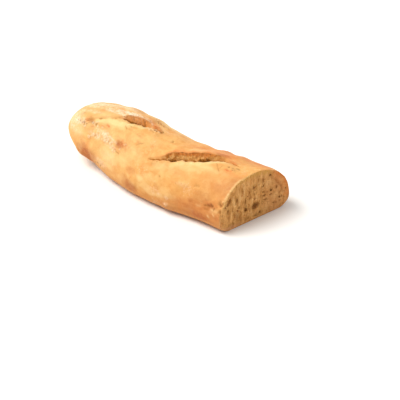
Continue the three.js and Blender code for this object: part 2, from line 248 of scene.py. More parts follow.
FLOURED = [
    (21, 132, 7, 8, 0.68), (64, 84, 10, 3.5, 0.7), (58, 93, 5, 3, 0.5), (48, 133, 8, 4, 0.35),
    (12, 134, 7, 18, 0.50), (12, 112, 8, 14, 0.34), (24, 150, 6, 7, 0.22), (47, 90, 10, 6, 0.8), (58, 84, 9, 6, 0.75), (68, 79, 7, 4.5, 0.45), (50, 68, 12, 8, 0.6), (34, 76, 12, 8, 0.6),
    (44, 142, 8, 4.0, 0.55), (58, 135, 7, 6.0, 0.62), (62, 141, 5, 5, 0.4), (57, 176, 8, 7, 0.4), (66, 158, 12, 9, 0.16),
    (152, 143, 7, 3.0, 0.16), (28, 106, 12, 5, 0.35), (22, 84, 12, 12, 0.6), (82, 76, 7, 3.5, 0.14), (100, 72, 8, 4, 0.15), (14, 152, 8, 9, 0.25), (141, 182, 3, 4, 0.4), (120, 30, 12, 6, 0.35),
    (46, 40, 10, 8, 0.5), (160, 20, 9, 6, 0.4), (12, 40, 8, 20, 0.6), (70, 143, 4, 4, 0.35), (133, 168, 2.6, 3, 0.3), (141, 170, 3, 3, 0.35)]
# Where it is a warmer orange.
WARM = [
    (138, 68, 12, 8, 0.20), (147, 58, 10, 8, 0.25), (31, 121, 4, 4, 0.25), (123, 116, 5, 4, 0.25), (118, 120, 5, 3, 0.12), (86, 74, 7, 6, 0.75), (92, 76, 6, 5, 0.30), (166, 66, 12, 6, 0.50), (156, 74, 20, 7, 0.50), (136, 78, 10, 6, 0.20), (186, 156, 9, 5, 0.35), (168, 92, 10, 4, 0.5),
    (152, 50, 16, 9, 0.25), (162, 44, 14, 12, 0.20), (178, 54, 14, 10, 0.40), (190, 58, 12, 9, 0.40), (202, 54, 10, 14, 0.45), (198, 26, 16, 22, 0.20), (160, 28, 30, 16, 0.16),
    (184, 107, 8, 4, 0.5), (194, 106, 8, 4, 0.35), (110, 46, 24, 12, 0.14), (34, 160, 7, 8, 0.35), (37, 172, 9, 10, 0.45), (158, 54, 11, 6, 0.55), (172, 56, 10, 6, 0.40), (172, 172, 26, 16, 0.42), (97, 155, 6, 6, 0.5), (172, 76, 14, 5, 0.45), (169, 81, 7, 4, 0.4), (198, 146, 8, 12, 0.25), (190, 130, 12, 12, 0.18)]
SPECKLED = [
    (92, 79, 9, 5, 0.5), (66, 84, 12, 4, 0.5),
    (26, 131, 8, 5, 0.6), (39, 126, 9, 4, 0.7), (50, 121, 6, 3, 0.8), (53, 101, 6, 3, 0.35), (97, 80, 6, 4, 1.15), (184, 97, 10, 4, 0.8),
    (64, 66, 26, 8, 0.24), (58, 52, 22, 9, 0.2), (88, 60, 14, 6, 0.6), (44, 88, 14, 5, 0.22), (57, 178, 10, 9, 0.7), (34, 90, 12, 6, 0.32), (16, 122, 10, 16, 0.4), (60, 140, 10, 8, 0.5), (76, 138, 7, 4, 0.5),
    (152, 143, 9, 4, 0.36), (199, 152, 5, 6, 0.9), (186, 158, 8, 5, 0.8), (145, 18, 20, 8, 0.5), (90, 12, 20, 8, 0.4), (22, 92, 8, 6, 0.4)]
# Little domes of crust: x, angle, half length, half width (degrees), how many,
# smallest and largest radius, height as a share of the radius.
BLISTERED = [
    (64, 85, 8, 3, 18, 0.8, 1.6, 0.42), (80, 80, 8, 3, 16, 0.7, 1.4, 0.42), (94, 74, 7, 4, 18, 0.7, 1.5, 0.42), (97, 79, 5, 3, 14, 0.7, 1.3, 0.46),
    (40, 145, 4.0, 4, 9, 0.9, 1.8, 0.34), (51, 139, 5.0, 3, 9, 0.9, 1.7, 0.32), (58, 137, 4.0, 4, 14, 0.9, 1.7, 0.36), (60, 147, 3.0, 4, 8, 0.9, 1.6, 0.34),
    (152, 143, 6.5, 3, 20, 0.8, 1.4, 0.30), (57, 176, 7.0, 7, 14, 0.8, 1.4, 0.24), (14, 128, 7, 16, 16, 0.9, 1.8, 0.22),
    (70, 140, 5, 4, 8, 0.8, 1.5, 0.26), (184, 158, 9, 5, 16, 0.9, 1.8, 0.30), (170, 166, 9, 5, 9, 0.8, 1.5, 0.26), (60, 80, 12, 4, 14, 0.8, 1.5, 0.30), (141, 184, 0.1, 0.1, 1, 2.4, 2.4, 0.5), (97, 81, 6, 3, 10, 0.9, 1.6, 0.34), (26, 131, 7, 4, 12, 0.8, 1.6, 0.28), (42, 125, 8, 3, 12, 0.8, 1.5, 0.28), (45, 90, 12, 5, 14, 0.8, 1.5, 0.22),
    (96, 84, 6, 5, 12, 0.8, 1.5, 0.28), (183, 97, 9, 4, 12, 0.8, 1.5, 0.24), (118, 24, 24, 8, 20, 0.8, 1.7, 0.22), (44, 30, 12, 12, 12, 0.8, 1.6, 0.22)]
DIMPLES = [          # x, angle, radius, depth
    (116.5, 85, 1.15, 1.3), (26, 134, 1.1, 0.8), (38, 128, 1.1, 0.7), (52, 103, 1.3, 0.35), (31, 122, 1.1, 0.6), (74, 133, 2.2, 0.5),
    (184, 100, 1.6, 0.8), (167, 160, 1.2, 0.5), (110, 130, 1.1, 0.4), (199, 154, 2.2, 1.5), (206, 163, 1.1, 0.9), (204, 166, 1.0, 0.8),
    (150, 36, 1.4, 0.7), (88, 28, 1.3, 0.7), (60, 14, 1.4, 0.6)]


# Small marks: kind (D dark crease or pit, darkened partly as painted shade in it, O olive shade, R reddish,
# T toasted, P pale, some of them painted highlights, F flour), x and angle of both ends, half width, amount, rise (mm).
LUMPS = [            # x, angle, radius, rise
    (37.6, 149, 1.5, 0.7), (40.4, 145, 1.2, 0.6), (43.0, 141, 1.5, 0.7), (45.8, 139.5, 1.1, 0.5), (50.2, 138, 1.6, 0.8), (52.6, 134.5, 1.1, 0.6), (55.6, 132.5, 1.4, 0.8),
    (58.2, 131, 1.2, 0.6), (61.0, 132.5, 1.4, 0.7), (55.0, 136.5, 1.2, 0.7), (58.4, 136, 1.3, 0.8), (62.4, 136.5, 1.2, 0.6), (57.0, 140.5, 1.5, 0.7), (61.0, 141, 1.2, 0.6),
    (64.8, 140, 1.1, 0.5), (53.6, 142, 1.0, 0.4), (66.4, 145, 1.1, 0.5), (70.4, 146.5, 1.2, 0.5), (81.2, 128, 0.9, 0.5), (77.5, 137.5, 1.0, 0.4),
    (59.0, 84, 1.5, 0.7), (62.2, 82, 1.2, 0.6), (65.0, 84.5, 1.4, 0.6), (68.4, 81.5, 1.3, 0.6), (71.6, 83, 1.2, 0.6), (75.0, 80, 1.3, 0.6), (78.4, 79.5, 1.0, 0.5), (56.2, 87.5, 1.3, 0.6),
    (53.0, 85.5, 1.1, 0.5), (60.4, 88, 1.2, 0.6), (82.0, 77, 1.1, 0.5), (86.0, 76, 1.0, 0.5), (83.0, 88, 1.1, 0.6), (86.2, 85.5, 1.2, 0.7), (89.4, 87, 1.0, 0.6), (91.4, 83.5, 1.2, 0.7),
    (88.0, 82, 1.0, 0.5), (94.6, 84, 1.0, 0.6), (93.0, 80.5, 0.9, 0.5), (97.6, 82, 1.0, 0.5), (19.0, 118, 1.1, 0.5), (29.0, 137, 1.2, 0.5), (43.6, 128, 1.2, 0.6), (36.0, 126, 1.3, 0.6), (48.6, 126.5, 1.0, 0.5)]
LUMPS_FLOUR = 0.50
STROKES = [
    ("D", 31.0, 119, 34.5, 125, 1.9, 0.36, -0.3),     ("D", 27.7, 136, 26.6, 131, 0.72, 1, -0.6), ("D", 19.3, 117, 20.4, 112, 0.63, 0.75, -0.3), ("D", 29.7, 133, 31.8, 128, 0.54, 0.45, -0.2),
    ("D", 40.2, 128, 41.2, 125, 0.72, 0.9, -0.5), ("D", 41.2, 116, 42.2, 114, 0.72, 0.65, -0.4), ("D", 51.6, 107, 52.7, 106, 0.54, 0.3, -0.2),
    ("D", 54.7, 105, 54.7, 103, 0.63, 0.3, -0.2), ("D", 29.7, 89, 31.8, 87, 0.72, 0.6, -0.2), ("D", 22.4, 85, 24.5, 84, 0.63, 0.45, -0.2),
    ("D", 30.8, 81, 32.9, 81, 0.54, 0.55, -0.2), ("D", 40.2, 83, 41.2, 82, 0.45, 0.4, 0), ("D", 61.1, 68, 63.2, 64, 0.54, 0.35, 0),
    ("D", 68.2, 105, 72.3, 109, 0.45, 0.55, -0.3), ("D", 72.3, 109, 74.4, 107, 0.405, 0.4, -0.2), ("D", 71.3, 100, 74.4, 101, 0.405, 0.4, -0.2),
    ("D", 91.7, 119, 93.8, 115, 0.36, 0.45, -0.3), ("D", 94.9, 114, 96.9, 111, 0.405, 0.5, -0.35), ("D", 74.2, 144, 78.3, 144, 0.72, 0.6, -0.4),
    ("D", 90.1, 85, 95.2, 88, 0.63, 0.35, -0.3), ("D", 91.2, 76, 93.3, 78, 0.54, 0.30, -0.2), ("D", 95.6, 75, 96.2, 75.5, 0.8, 0.40, -0.4),
    ("D", 98.6, 76, 100.0, 77.5, 0.72, 0.75, -0.4), ("D", 97.3, 88, 102.4, 89, 0.54, 0.35, -0.2), ("D", 61.9, 141, 62.9, 137, 0.45, 0.6, -0.3),
    ("D", 57.8, 139, 58.8, 136, 0.36, 0.45, -0.2), ("D", 66.0, 141, 67.1, 137, 0.405, 0.4, -0.2), ("D", 71.2, 144, 74.2, 142, 0.63, 0.35, 0),
    ("R", 27.7, 124, 28.7, 125, 0.9, 0.5, 0), ("R", 47.4, 125, 48.5, 125, 0.99, 0.55, 0), ("R", 51.6, 120, 54.7, 121, 0.99, 0.95, 0),
    ("R", 50.5, 126, 53.7, 124, 0.72, 0.3, 0), ("R", 84.7, 106, 85.8, 102, 0.45, 0.6, 0), ("R", 85.8, 102, 89.9, 100, 0.45, 0.5, 0),
    ("R", 85.0, 74, 89.0, 73, 1.6, 0.22, 0), ("D", 92.6, 72, 93.2, 73, 0.75, 0.45, -0.3), ("D", 96.2, 78, 96.6, 79, 0.7, 0.5, -0.3), ("D", 93.8, 80, 94.2, 81, 0.7, 0.4, -0.3), ("D", 99.6, 80, 100.0, 81, 0.7, 0.35, -0.3), ("R", 68.1, 143, 77.3, 141, 0.9, 0.35, 0),
    ("R", 81.5, 128, 89.6, 129, 1.08, 0.35, 0), ("R", 69.2, 126, 77.4, 126, 1.26, 0.35, 0), ("R", 181.0, 101.5, 184.2, 101.5, 1.0, 1.0, 0),
    ("R", 185.6, 101.5, 187.4, 100.5, 1.15, 1.0, -0.2), ("P", 172.6, 165, 175.0, 165, 1.4, 0.35, 0), ("P", 81.4, 82.5, 83.2, 80.5, 0.6, 0.5, 0.3), ("P", 86.0, 79, 87.6, 78, 0.6, 0.5, 0.3), ("P", 92.5, 81, 93.6, 79.5, 0.6, 0.5, 0.3), ("O", 88.2, 83, 91.0, 83.5, 0.9, 0.5, 0), ("O", 94.6, 83, 97.2, 82, 0.9, 0.5, 0), ("D", 84.6, 81, 85.4, 80, 0.6, 0.4, -0.2), ("D", 90.0, 79, 90.8, 78, 0.6, 0.4, -0.2), ("R", 176.8, 82, 183.7, 84, 1.44, 0.42, 0), ("T", 178.0, 83, 185.0, 82.5, 1.8, 0.45, 0), ("R", 131.9, 95, 134.9, 94, 0.63, 0.35, 0),
    ("R", 184.6, 105, 190.6, 104, 0.9, 0.3, 0), ("T", 73.2, 134, 76.8, 132.5, 3.0, 1.0, -0.6), ("R", 78.6, 130, 82.5, 129, 1.8, 0.30, 0), ("T", 72.0, 139, 78.0, 137, 0.8, 0.55, -0.2),
    ("T", 69.1, 142, 73.2, 142, 0.72, 0.5, 0), ("T", 32.9, 127, 36.0, 121, 0.9, 0.8, 0), ("T", 36.0, 133, 39.1, 131, 0.9, 0.5, 0),
    ("T", 27.7, 106, 44.3, 92, 0.81, 0.35, 0), 
    ("D", 180.6, 161.4, 188.4, 158.0, 1.15, 0.66, -0.8), ("T", 180.0, 161, 189.0, 157, 1.8, 0.5, 0), ("D", 180.8, 166.5, 184.6, 165.5, 1.1, 0.50, -0.5), ("T", 180.4, 167, 185.0, 165.5, 1.5, 0.4, 0), ("P", 188.6, 163.5, 194.0, 163, 1.5, 0.45, 0.2), ("T", 180.6, 153, 183.4, 153, 0.8, 0.6, -0.3), ("T", 177.0, 158, 178.6, 158, 0.9, 0.4, -0.2), ("P", 187.4, 163, 190.6, 163, 0.9, 0.6, 0.4), ("P", 190.0, 168, 191.4, 171, 0.9, 0.55, 0.4), ("P", 184.5, 176, 185.5, 178, 1.0, 0.6, 0.4), ("T", 199.6, 140, 202.6, 134, 0.8, 0.5, -0.3), ("P", 86.0, 84, 91.0, 91, 0.54, 0.4, 0.2),
    ("P", 117.7, 92, 118.7, 91, 0.63, 0.8, 0.2),
    ("P", 137.1, 117, 142.4, 110, 0.72, 0.5, 0.3), ("P", 159.0, 100, 162.6, 92, 0.72, 0.6, 0.3), ("P", 202.5, 80, 205.3, 75, 0.54, 0.9, 0.2),
    ("P", 79.4, 130, 80.4, 129, 0.45, 0.9, 0.3), ("P", 84.5, 130, 84.5, 127, 0.45, 0.9, 0.3), ("P", 76.3, 141, 78.3, 139, 0.45, 0.6, 0.2),
    ("F", 64.0, 133, 70.2, 135, 1.08, 0.5, 0), ("F", 65.2, 137.5, 67.4, 136.5, 0.9, 0.7, 0.4), ("R", 60.0, 136.6, 61.4, 137.4, 0.7, 0.35, -0.2), ("F", 52.7, 91, 49.6, 82, 0.63, 0.8, 0.4),
    ("F", 53.7, 92, 60.0, 90, 0.81, 1, 0.4), ("F", 60.0, 89, 63.1, 86, 0.81, 1.1, 0.4), ("F", 59.0, 82, 63.1, 81, 0.72, 1, 0.4),
    ("F", 66.2, 84, 70.4, 82, 0.54, 0.7, 0.3), ("F", 71.4, 83, 75.6, 80, 0.63, 0.8, 0.3), ("F", 76.7, 80, 81.9, 77, 0.63, 0.6, 0.3),
    ("F", 43.3, 82, 47.5, 83, 0.54, 0.8, 0.4), ("F", 38.1, 125, 41.2, 121, 0.72, 0.8, 0.3), ("F", 37.0, 126, 40.2, 130, 0.54, 0.6, 0.3),
    ("D", 115.9, 83, 115.9, 83, 0.81, 1.1, -0.9), ("D", 116.8, 131, 118.9, 128, 0.45, 0.35, -0.2), ("D", 128.5, 142, 129.5, 143, 0.63, 0.5, -0.3), ("D", 164.6, 139.5, 165.6, 137, 0.5, 0.35, -0.25), ("D", 166.4, 139.5, 167.4, 137, 0.5, 0.40, -0.25), ("D", 168.4, 139.5, 169.2, 137.4, 0.5, 0.30, -0.25), ("O", 115.8, 131, 118.6, 130.6, 1.5, 0.5, 0), ("D", 111.6, 126.5, 112.2, 127.5, 0.6, 0.4, -0.3), ("D", 114.8, 126, 115.2, 127, 0.6, 0.4, -0.3), ("D", 119.0, 124.5, 119.4, 125.5, 0.6, 0.45, -0.3),
    ("D", 168.6, 94, 177.5, 108, 0.45, 0.5, -0.25), ("D", 175.6, 96, 176.0, 102, 0.405, 0.4, -0.2), ("D", 184.4, 88, 185.5, 87, 0.63, 0.6, -0.3),
    ("D", 189.0, 91, 192.9, 92, 0.54, 0.9, -0.5), ("O", 186.6, 95, 191.3, 98, 1.62, 0.4, 0), ("O", 164.3, 83, 171.7, 81, 1.17, 0.45, 0),
    ("D", 194.9, 151, 195.2, 146, 0.7, 0.45, -0.5), ("T", 195.2, 146, 199.1, 143, 0.6, 0.4, -0.3), ("D", 197.0, 152, 198.6, 147, 0.7, 0.4, -0.5),
    ("D", 197.4, 160.5, 197.4, 162.5, 1.2, 1.0, -1.0), ("T", 197.4, 160, 197.4, 163, 1.6, 0.5, 0), ("P", 197.0, 146, 198.8, 146, 0.72, 0.8, 0.5),
]


def strokes(x, b, seed):
    """The small marks at the plain surface points b: a mask for each kind, and the rise."""
    out = {k: np.zeros(len(b)) for k in "DORTPF"}
    rise = np.zeros(len(b))
    ragged = 0.45 * fbm(b, 2.4, 2, seed)
    for kind, x0, a0, x1, a1, half, amount, high in STROKES:
        p0, p1 = body(np.array([x0, x1]), np.array([a0, a1]))
        half = max(half, 0.62)
        near = np.where((x > min(x0, x1) - 4 * half - 1) & (x < max(x0, x1) + 4 * half + 1))[0]
        d = p1 - p0
        t = np.clip(((b[near] - p0) @ d) / max(d @ d, 1e-9), 0, 1)
        away = np.sqrt(((b[near] - p0 - t[:, None] * d) ** 2).sum(1)) + ragged[near]
        m = np.exp(-(np.maximum(away, 0) / half) ** 2)
        out[kind][near] = np.maximum(out[kind][near], amount * m)
        rise[near] += high * m
    return out, rise


def lumps(x, b):
    """The floury lumps: the rise at b, how floury it is, and their rims, which also carry a painted shade round each
    lump's foot.
    """
    rise, top, ring = (np.zeros(len(b)) for _ in range(3))
    ragged = 0.30 * fbm(b, 1.9, 2, 117)
    for at, around, r, high in LUMPS:
        c, r = body(np.array([float(at)]), np.array([float(around)]))[0], 1.25 * r
        near = np.where(np.abs(x - at) < 3 * r + 1)[0]
        d = (np.sqrt(((b[near] - c) ** 2).sum(1)) + ragged[near]) / r
        dome = np.clip(1 - d * d, 0, 1) ** 0.7
        rise[near] = np.maximum(rise[near], high * dome)
        top[near] = np.maximum(top[near], smooth(0.15, 0.6, dome))
        ring[near] = np.maximum(ring[near], np.exp(-((d - 1.15) / 0.30) ** 2))
    return 0.85 * rise, LUMPS_FLOUR * top, ring * (1 - top)


def patches(table, x, phi, p, seed):
    """Soft uneven patches over the crust, 0 to 1."""
    out = np.zeros(len(x))
    dx, da = 4.0 * fbm(p, 7.0, 3, seed), 7.0 * fbm(p, 6.0, 3, seed + 3)
    for at, around, length, width, amount in table:
        d = np.hypot((x + dx * min(1, length / 8) - at) / length, (phi + da * min(1, width / 8) - around) / width)
        out = out + amount * (0.55 * (1 - smooth(0.55, 1.25, d)) + 0.45 * np.exp(-d * d))
    return np.clip(out, 0, 1.2)


def domes_and_dimples(p, seed):
    """Blisters and pits of the crust: the rise at the points p."""
    rng = np.random.default_rng(seed)
    rise = np.zeros(len(p))
    for at, around, length, width, count, r0, r1, share in BLISTERED:
        xs = at + rng.normal(0, 0.6, count) * length
        ps = around + rng.normal(0, 0.6, count) * width
        rs = r0 + (r1 - r0) * rng.random(count) ** 1.5
        for c, r in zip(body(np.maximum(xs, 1.0), ps), rs):
            d2 = ((p - c) ** 2).sum(1)
            j = np.argmin(d2)
            t = np.clip(1 - ((p - p[j]) ** 2).sum(1) / (r * r), 0, 1)
            rise = np.maximum(rise, share * r * t ** 1.2)
    for at, around, r, depth in DIMPLES:
        c = body(np.array([float(at)]), np.array([float(around)]))[0]
        j = np.argmin(((p - c) ** 2).sum(1))
        rise -= depth * np.exp(-((p - p[j]) ** 2).sum(1) / (r * r))
    return rise


def crack_angle(S, x):
    at = np.clip(x, S["x"][0], S["x"][-1])
    return angle_at(at, along(S["x"], S["y"], at))


N_ROWS = 262                                     # facets round the loaf
TIP_RINGS, TIP_RINGS_END, N_RINGS = 16, 12.0, 214
CLUSTER, CLUSTER_WIDTH = 26.0, 3.3               # extra rows along a slash, and their spread in degrees


def row_angles(x):
    """Angles of all rows at the stations x, as a (len(x), N_ROWS) array: even
    along the surface, wider apart underneath, and closer on the slashes."""
    fine = np.linspace(-90, 270, 1441)
    tip, mid = crack_angle(TIP_SLASH, x) - 1.8, crack_angle(MID_SLASH, x) - 1.8
    on_tip = smooth(10, 24, x) * (1 - smooth(98, 112, x))
    on_mid = smooth(98, 112, x) * (1 - smooth(188, 200, x))
    share = np.arange(N_ROWS) / N_ROWS
    out = []
    for at, t, m, wt, wm in zip(np.maximum(x, 2.0), tip, mid, on_tip, on_mid):
        ring = body(np.full_like(fine, at), fine)
        step = np.hypot(*np.diff(ring[:, 1:], axis=0).T)
        centre = (fine[1:] + fine[:-1]) / 2
        s = np.sin(np.radians(centre))
        weight = 0.45 + 0.55 * smooth(-0.75, 0.0, s)
        dense = step / step.sum() * 235.0 * weight
        for c, w in ((t, wt), (m, wm)):
            bump = np.exp(-((centre - c) / CLUSTER_WIDTH) ** 2)
            dense = dense + w * CLUSTER * bump / bump.sum()
        total = np.concatenate([[0], np.cumsum(dense)])
        out.append(np.interp(share * total[-1], total, fine))
    return np.array(out)


def uneven(x, phi, p):
    """Slow lumps of the hand-shaped dough, along the surface normal."""
    a = np.radians(phi)
    s = np.sin(a)
    rise = UNEVEN * smooth(4, 30, x) * smooth(-0.5, 0.2, s) * (
        np.sin(2 * np.pi * x / WAVE_ALONG + a) * np.cos(2 * np.pi * phi / WAVE_ROUND)
        + 0.7 * np.sin(2 * np.pi * x / (1.7 * WAVE_ALONG) + 2.1) * np.sin(2 * np.pi * phi / (1.6 * WAVE_ROUND)))
    away = np.hypot((x - FOLD["x"]) / FOLD["length"], (phi - FOLD["around"]) / FOLD["width"])
    rise -= FOLD["depth"] * np.exp(-away * away)
    for around, lumps in (FAR_SHOULDER, NEAR_FOOT):
        for at, high in lumps:
            rise += high * np.exp(-((x - at) / LUMP_LENGTH) ** 2 - ((phi - around) / LUMP_WIDTH) ** 2)
    return rise


def crust_grid():
    """The crust as N_RINGS rings of N_ROWS points, the last one on the cut.
    Returns points (rings, rows, 3), in loaf coordinates, and finish masks."""
    k = np.arange(1, N_RINGS + 1)
    last = N_RINGS - TIP_RINGS
    x0 = np.where(k <= TIP_RINGS, TIP_RINGS_END * (k / TIP_RINGS) ** 2,
                  TIP_RINGS_END + (CUT_X - TIP_RINGS_END) * (k - TIP_RINGS) / last)
    phi = row_angles(x0)
    share = (x0 / CUT_X)[:, None] ** 3
    x = np.repeat(x0[:, None], N_ROWS, 1)
    for _ in range(6):                                   # the last ring slants with the cut
        y = body(x.ravel(), phi.ravel())[:, 1].reshape(x.shape)
        x = x0[:, None] + share * y * math.tan(CUT_TURN)
    X, P = x.ravel(), phi.ravel()
    p = body(X, P)
    a = np.radians(P)
    c, s = np.cos(a), np.sin(a)
    masks = {}
    move = np.zeros_like(p)
    pale, crack, wall, lip, ear, flap, torn_warm = (np.zeros(len(p)) for _ in range(7))
    top = smooth(0.0, 0.35, s)
    for S in (TIP_SLASH, MID_SLASH):
        shift, w, strength = slash_relief(S, p)
        shift *= top[:, None]
        lean = np.hypot(0.35 * c, np.maximum(s, 0.2))
        move[:, 0] += shift[:, 0]
        move[:, 1] += shift[:, 1] + shift[:, 2] * 0.35 * c / lean
        move[:, 2] += shift[:, 2] * np.maximum(s, 0) / lean
        st = smooth(0.02, 0.55, strength)
        q = np.stack([X, np.zeros_like(X), np.zeros_like(X)], -1)
        spread = S["opening"] * (0.78 + 0.25 * fbm(q, 12, 2, S["seed"] + 31))
        pale = np.maximum(pale, S["tone"] * st * (0.30 + 0.70 * smooth(*S["pale_from"], X)) * smooth(-spread, -spread * 0.35, w) * (1 - smooth(-0.6, 0.3, w))
                          * (1 - 0.75 * S["warm"] * smooth(0.25, 0.8, strength) * smooth(-6.5, -3.0, w)))
        deep = smooth(-0.35, 0.25, fbm(q, 7.5, 2, S["seed"] + 35))
        deep = deep * (1 - (1 - smooth(0.3, 0.7, strength)) * smooth(0.0, -0.3, fbm(q, 2.2, 2, S["seed"] + 41)))
        pocket = sum(a * np.exp(-((X - at) / half) ** 4) for at, half, a in S["pockets"])
        # painted shade: darkens the crack, its pockets and the dark streaks down the wall, where shade falls
        low = np.clip(w - 0.55 - 0.25 * fbm(q, 2.2, 2, S["seed"] + 33), 0, 9) + np.clip(-0.1 - 0.75 * smooth(0.9, 1.2, pocket) - w, 0, 9)
        crack = np.maximum(crack, smooth(0.02, 0.12, strength) * np.exp(-(low / 0.50) ** 2) * (0.18 + 0.62 * deep) * (S["thin"] + (1 - S["thin"]) * smooth(0.2, 0.6, strength)))
        reach = 0.72 + 0.55 * smooth(0.6, 1.4, pocket) + 0.30 * fbm(q, 1.8, 2, S["seed"] + 43)
        crack = np.maximum(crack, np.clip(pocket, 0, 1.3) * smooth(0.3, 0.7, pocket) * np.exp(-(np.clip(w - reach, 0, 9) / 0.34) ** 2) * smooth(-1.2, -0.5, w))
        for at, lean, half, amount in S["streaks"]:
            crack = np.maximum(crack, amount * np.exp(-((X - at - lean * (w - 0.9)) / half) ** 2) * smooth(0.7, 1.5, w) * (1 - smooth(2.5, 3.1, w)))
        for at, lean, half, amount in S["flaps"]:
            flap = np.maximum(flap, amount * np.exp(-((X - at - lean * (w - 0.9)) / half) ** 4) * smooth(1.3, 1.8, w) * (1 - smooth(2.5, 3.0, w)))
        wall = np.maximum(wall, S["torn"] * smooth(0.2, 0.7, strength) * smooth(-0.2, 0.5, w + 0.9 * np.clip(fbm(p, 1.8, 2, S["seed"] + 39) + 0.1, 0, 1)) * (1 - smooth(2.7, 3.2, w)))
        edge = 1.95 + 0.35 * fbm(q, 3.0, 2, S["seed"] + 37) + S["lip_cut"] * smooth(158, 170, X)
        lip = np.maximum(lip, (1 - 0.6 * S["warm"]) * S["torn"] * smooth(0.2, 0.6, strength) * smooth(edge - 0.25, edge + 0.25, w) * (1 - smooth(2.8, 3.3, w)))
        torn_warm = np.maximum(torn_warm, S["warm"] * smooth(0.1, 0.6, strength) * smooth(-0.4, 0.4, w) * (1 - smooth(2.7, 3.3, w)))
        torn_warm = np.maximum(torn_warm, S["ridge"] * smooth(0.3, 0.9, strength) * smooth(2.6, 3.2, w) * (1 - smooth(4.4, 7.0, w)))
        ear = np.maximum(ear, S["dusty"] * smooth(0.2, 0.9, strength) * np.exp(-((w - 5.3) / 2.1) ** 2))
    wall, lip, crack = wall * (1 - flap), lip * (1 - flap), crack * (1 - flap)
    plain = p
    p = p + move
    rise = uneven(X, P, p)
    marks, mark_rise = strokes(X, plain, 111)
    lump, lump_top, lump_ring = lumps(X, plain)
    mark_rise = mark_rise + lump - 0.15 * lump_ring
    marks["F"] = np.maximum(marks["F"], lump_top)
    # painted shade: a darker ring round the foot of each lump
    marks["O"] = np.maximum(marks["O"], 0.30 * lump_ring)
    keep = 1 - smooth(CUT_X - 4, CUT_X, x0)[:, None] * np.ones_like(x)
    keep = keep.ravel()
    body_on = smooth(0.5, 6, X)
    under = smooth(-0.2, -0.8, s)
    masks["toast"] = np.maximum(patches(TOASTED, X, P, plain, 71), marks["T"])
    # paler crust, with painted highlights from some pale marks and on the torn flaps
    masks["pale_and_highlight"] = np.maximum(patches(PALER, X, P, plain, 81), np.maximum(marks["P"], 0.6 * flap))
    masks["flour"] = np.maximum(patches(FLOURED, X, P, plain, 91), marks["F"])
    masks["speck"] = patches(SPECKLED, X, P, plain, 101)
    # dark marks of the crust, partly painted shade in creases, pits and round the lumps
    masks["dark"] = np.maximum(marks["D"], 0.5 * marks["O"] * (1 - np.clip(1.3 * marks["F"], 0, 1)))
    masks["red"] = marks["R"]
    masks["warm"] = np.maximum(patches(WARM, X, P, plain, 121), torn_warm)
    rough = np.clip(masks["flour"] + masks["speck"] + 0.6 * ear, 0, 1)
    fine = 0.45 * fbm(p, 13.0, 2, 41) + 0.34 * fbm(p, 5.6, 3, 51) + (0.10 + 0.50 * rough) * fbm(p, 2.7, 2, 55)
    rise = rise + fine * (1 - 0.7 * under) * body_on + domes_and_dimples(p, 61) * keep + mark_rise
    near_cut = smooth(CUT_X - 6, CUT_X - 0.5, x0)[:, None] * np.ones_like(x)
    torn_edge = near_cut.ravel() * smooth(95, 125, P) * (1 - smooth(176, 186, P))
    turn = np.stack([0 * P, 0 * P, P * 0.65], -1)
    rise = rise + torn_edge * (0.9 * fbm(turn, 4.5, 2, 131) + 0.5 * fbm(turn, 1.7, 2, 133))
    rise = rise - near_cut.ravel() * 1.3 * np.exp(-((P - 152) / 4.0) ** 2)
    rise = rise + smooth(CUT_X - 13, CUT_X - 8, x0).repeat(N_ROWS) * (1 - near_cut.ravel()) * 0.9 * np.exp(-((P - 147) / 4.0) ** 2)
    p[:, 1] += rise * c
    p[:, 2] += rise * s
    # the loaf lies flat
    p[:, 2] = np.where(p[:, 2] < 0, 0, p[:, 2])
    p = p.reshape(N_RINGS, N_ROWS, 3)
    p[-1, :, 0] = CUT_X + p[-1, :, 1] * math.tan(CUT_TURN)
    # painted highlight: a bright ragged edge of the crust by the cut, where it catches the light
    edge_highlight = smooth(CUT_X - 2.6, CUT_X - 0.9, x0).repeat(N_ROWS) * smooth(98, 112, P) * (1 - smooth(139, 149, P))
    masks["pale_and_highlight"] = np.maximum(masks["pale_and_highlight"], edge_highlight * (0.65 + 0.9 * fbm(turn, 2.0, 2, 135)))
    masks.update(pale=pale, crack=crack, wall=wall, lip=lip, ear=ear)
    return p, phi, {n: m.reshape(N_RINGS, N_ROWS) for n, m in masks.items()}


def inside(poly, q):
    """Which of the 2-D points q lie inside the closed polygon."""
    a, b = poly, np.roll(poly, -1, 0)
    hit = np.zeros(len(q), bool)
    for (x0, y0), (x1, y1) in zip(a, b):
        if y0 != y1:
            cross = (y0 > q[:, 1]) != (y1 > q[:, 1])
            hit ^= cross & (q[:, 0] < (x1 - x0) * (q[:, 1] - y0) / (y1 - y0) + x0)
    return hit


def outline_distance(poly, q):
    """Distance of each 2-D point from the closed polygon."""
    a, b = poly, np.roll(poly, -1, 0)
    best = np.full(len(q), 1e9)
    for p0, p1 in zip(a, b):
        d = p1 - p0
        t = np.clip(((q - p0) @ d) / max(d @ d, 1e-12), 0, 1)
        best = np.minimum(best, ((q - p0 - t[:, None] * d) ** 2).sum(1))
    return np.sqrt(best)
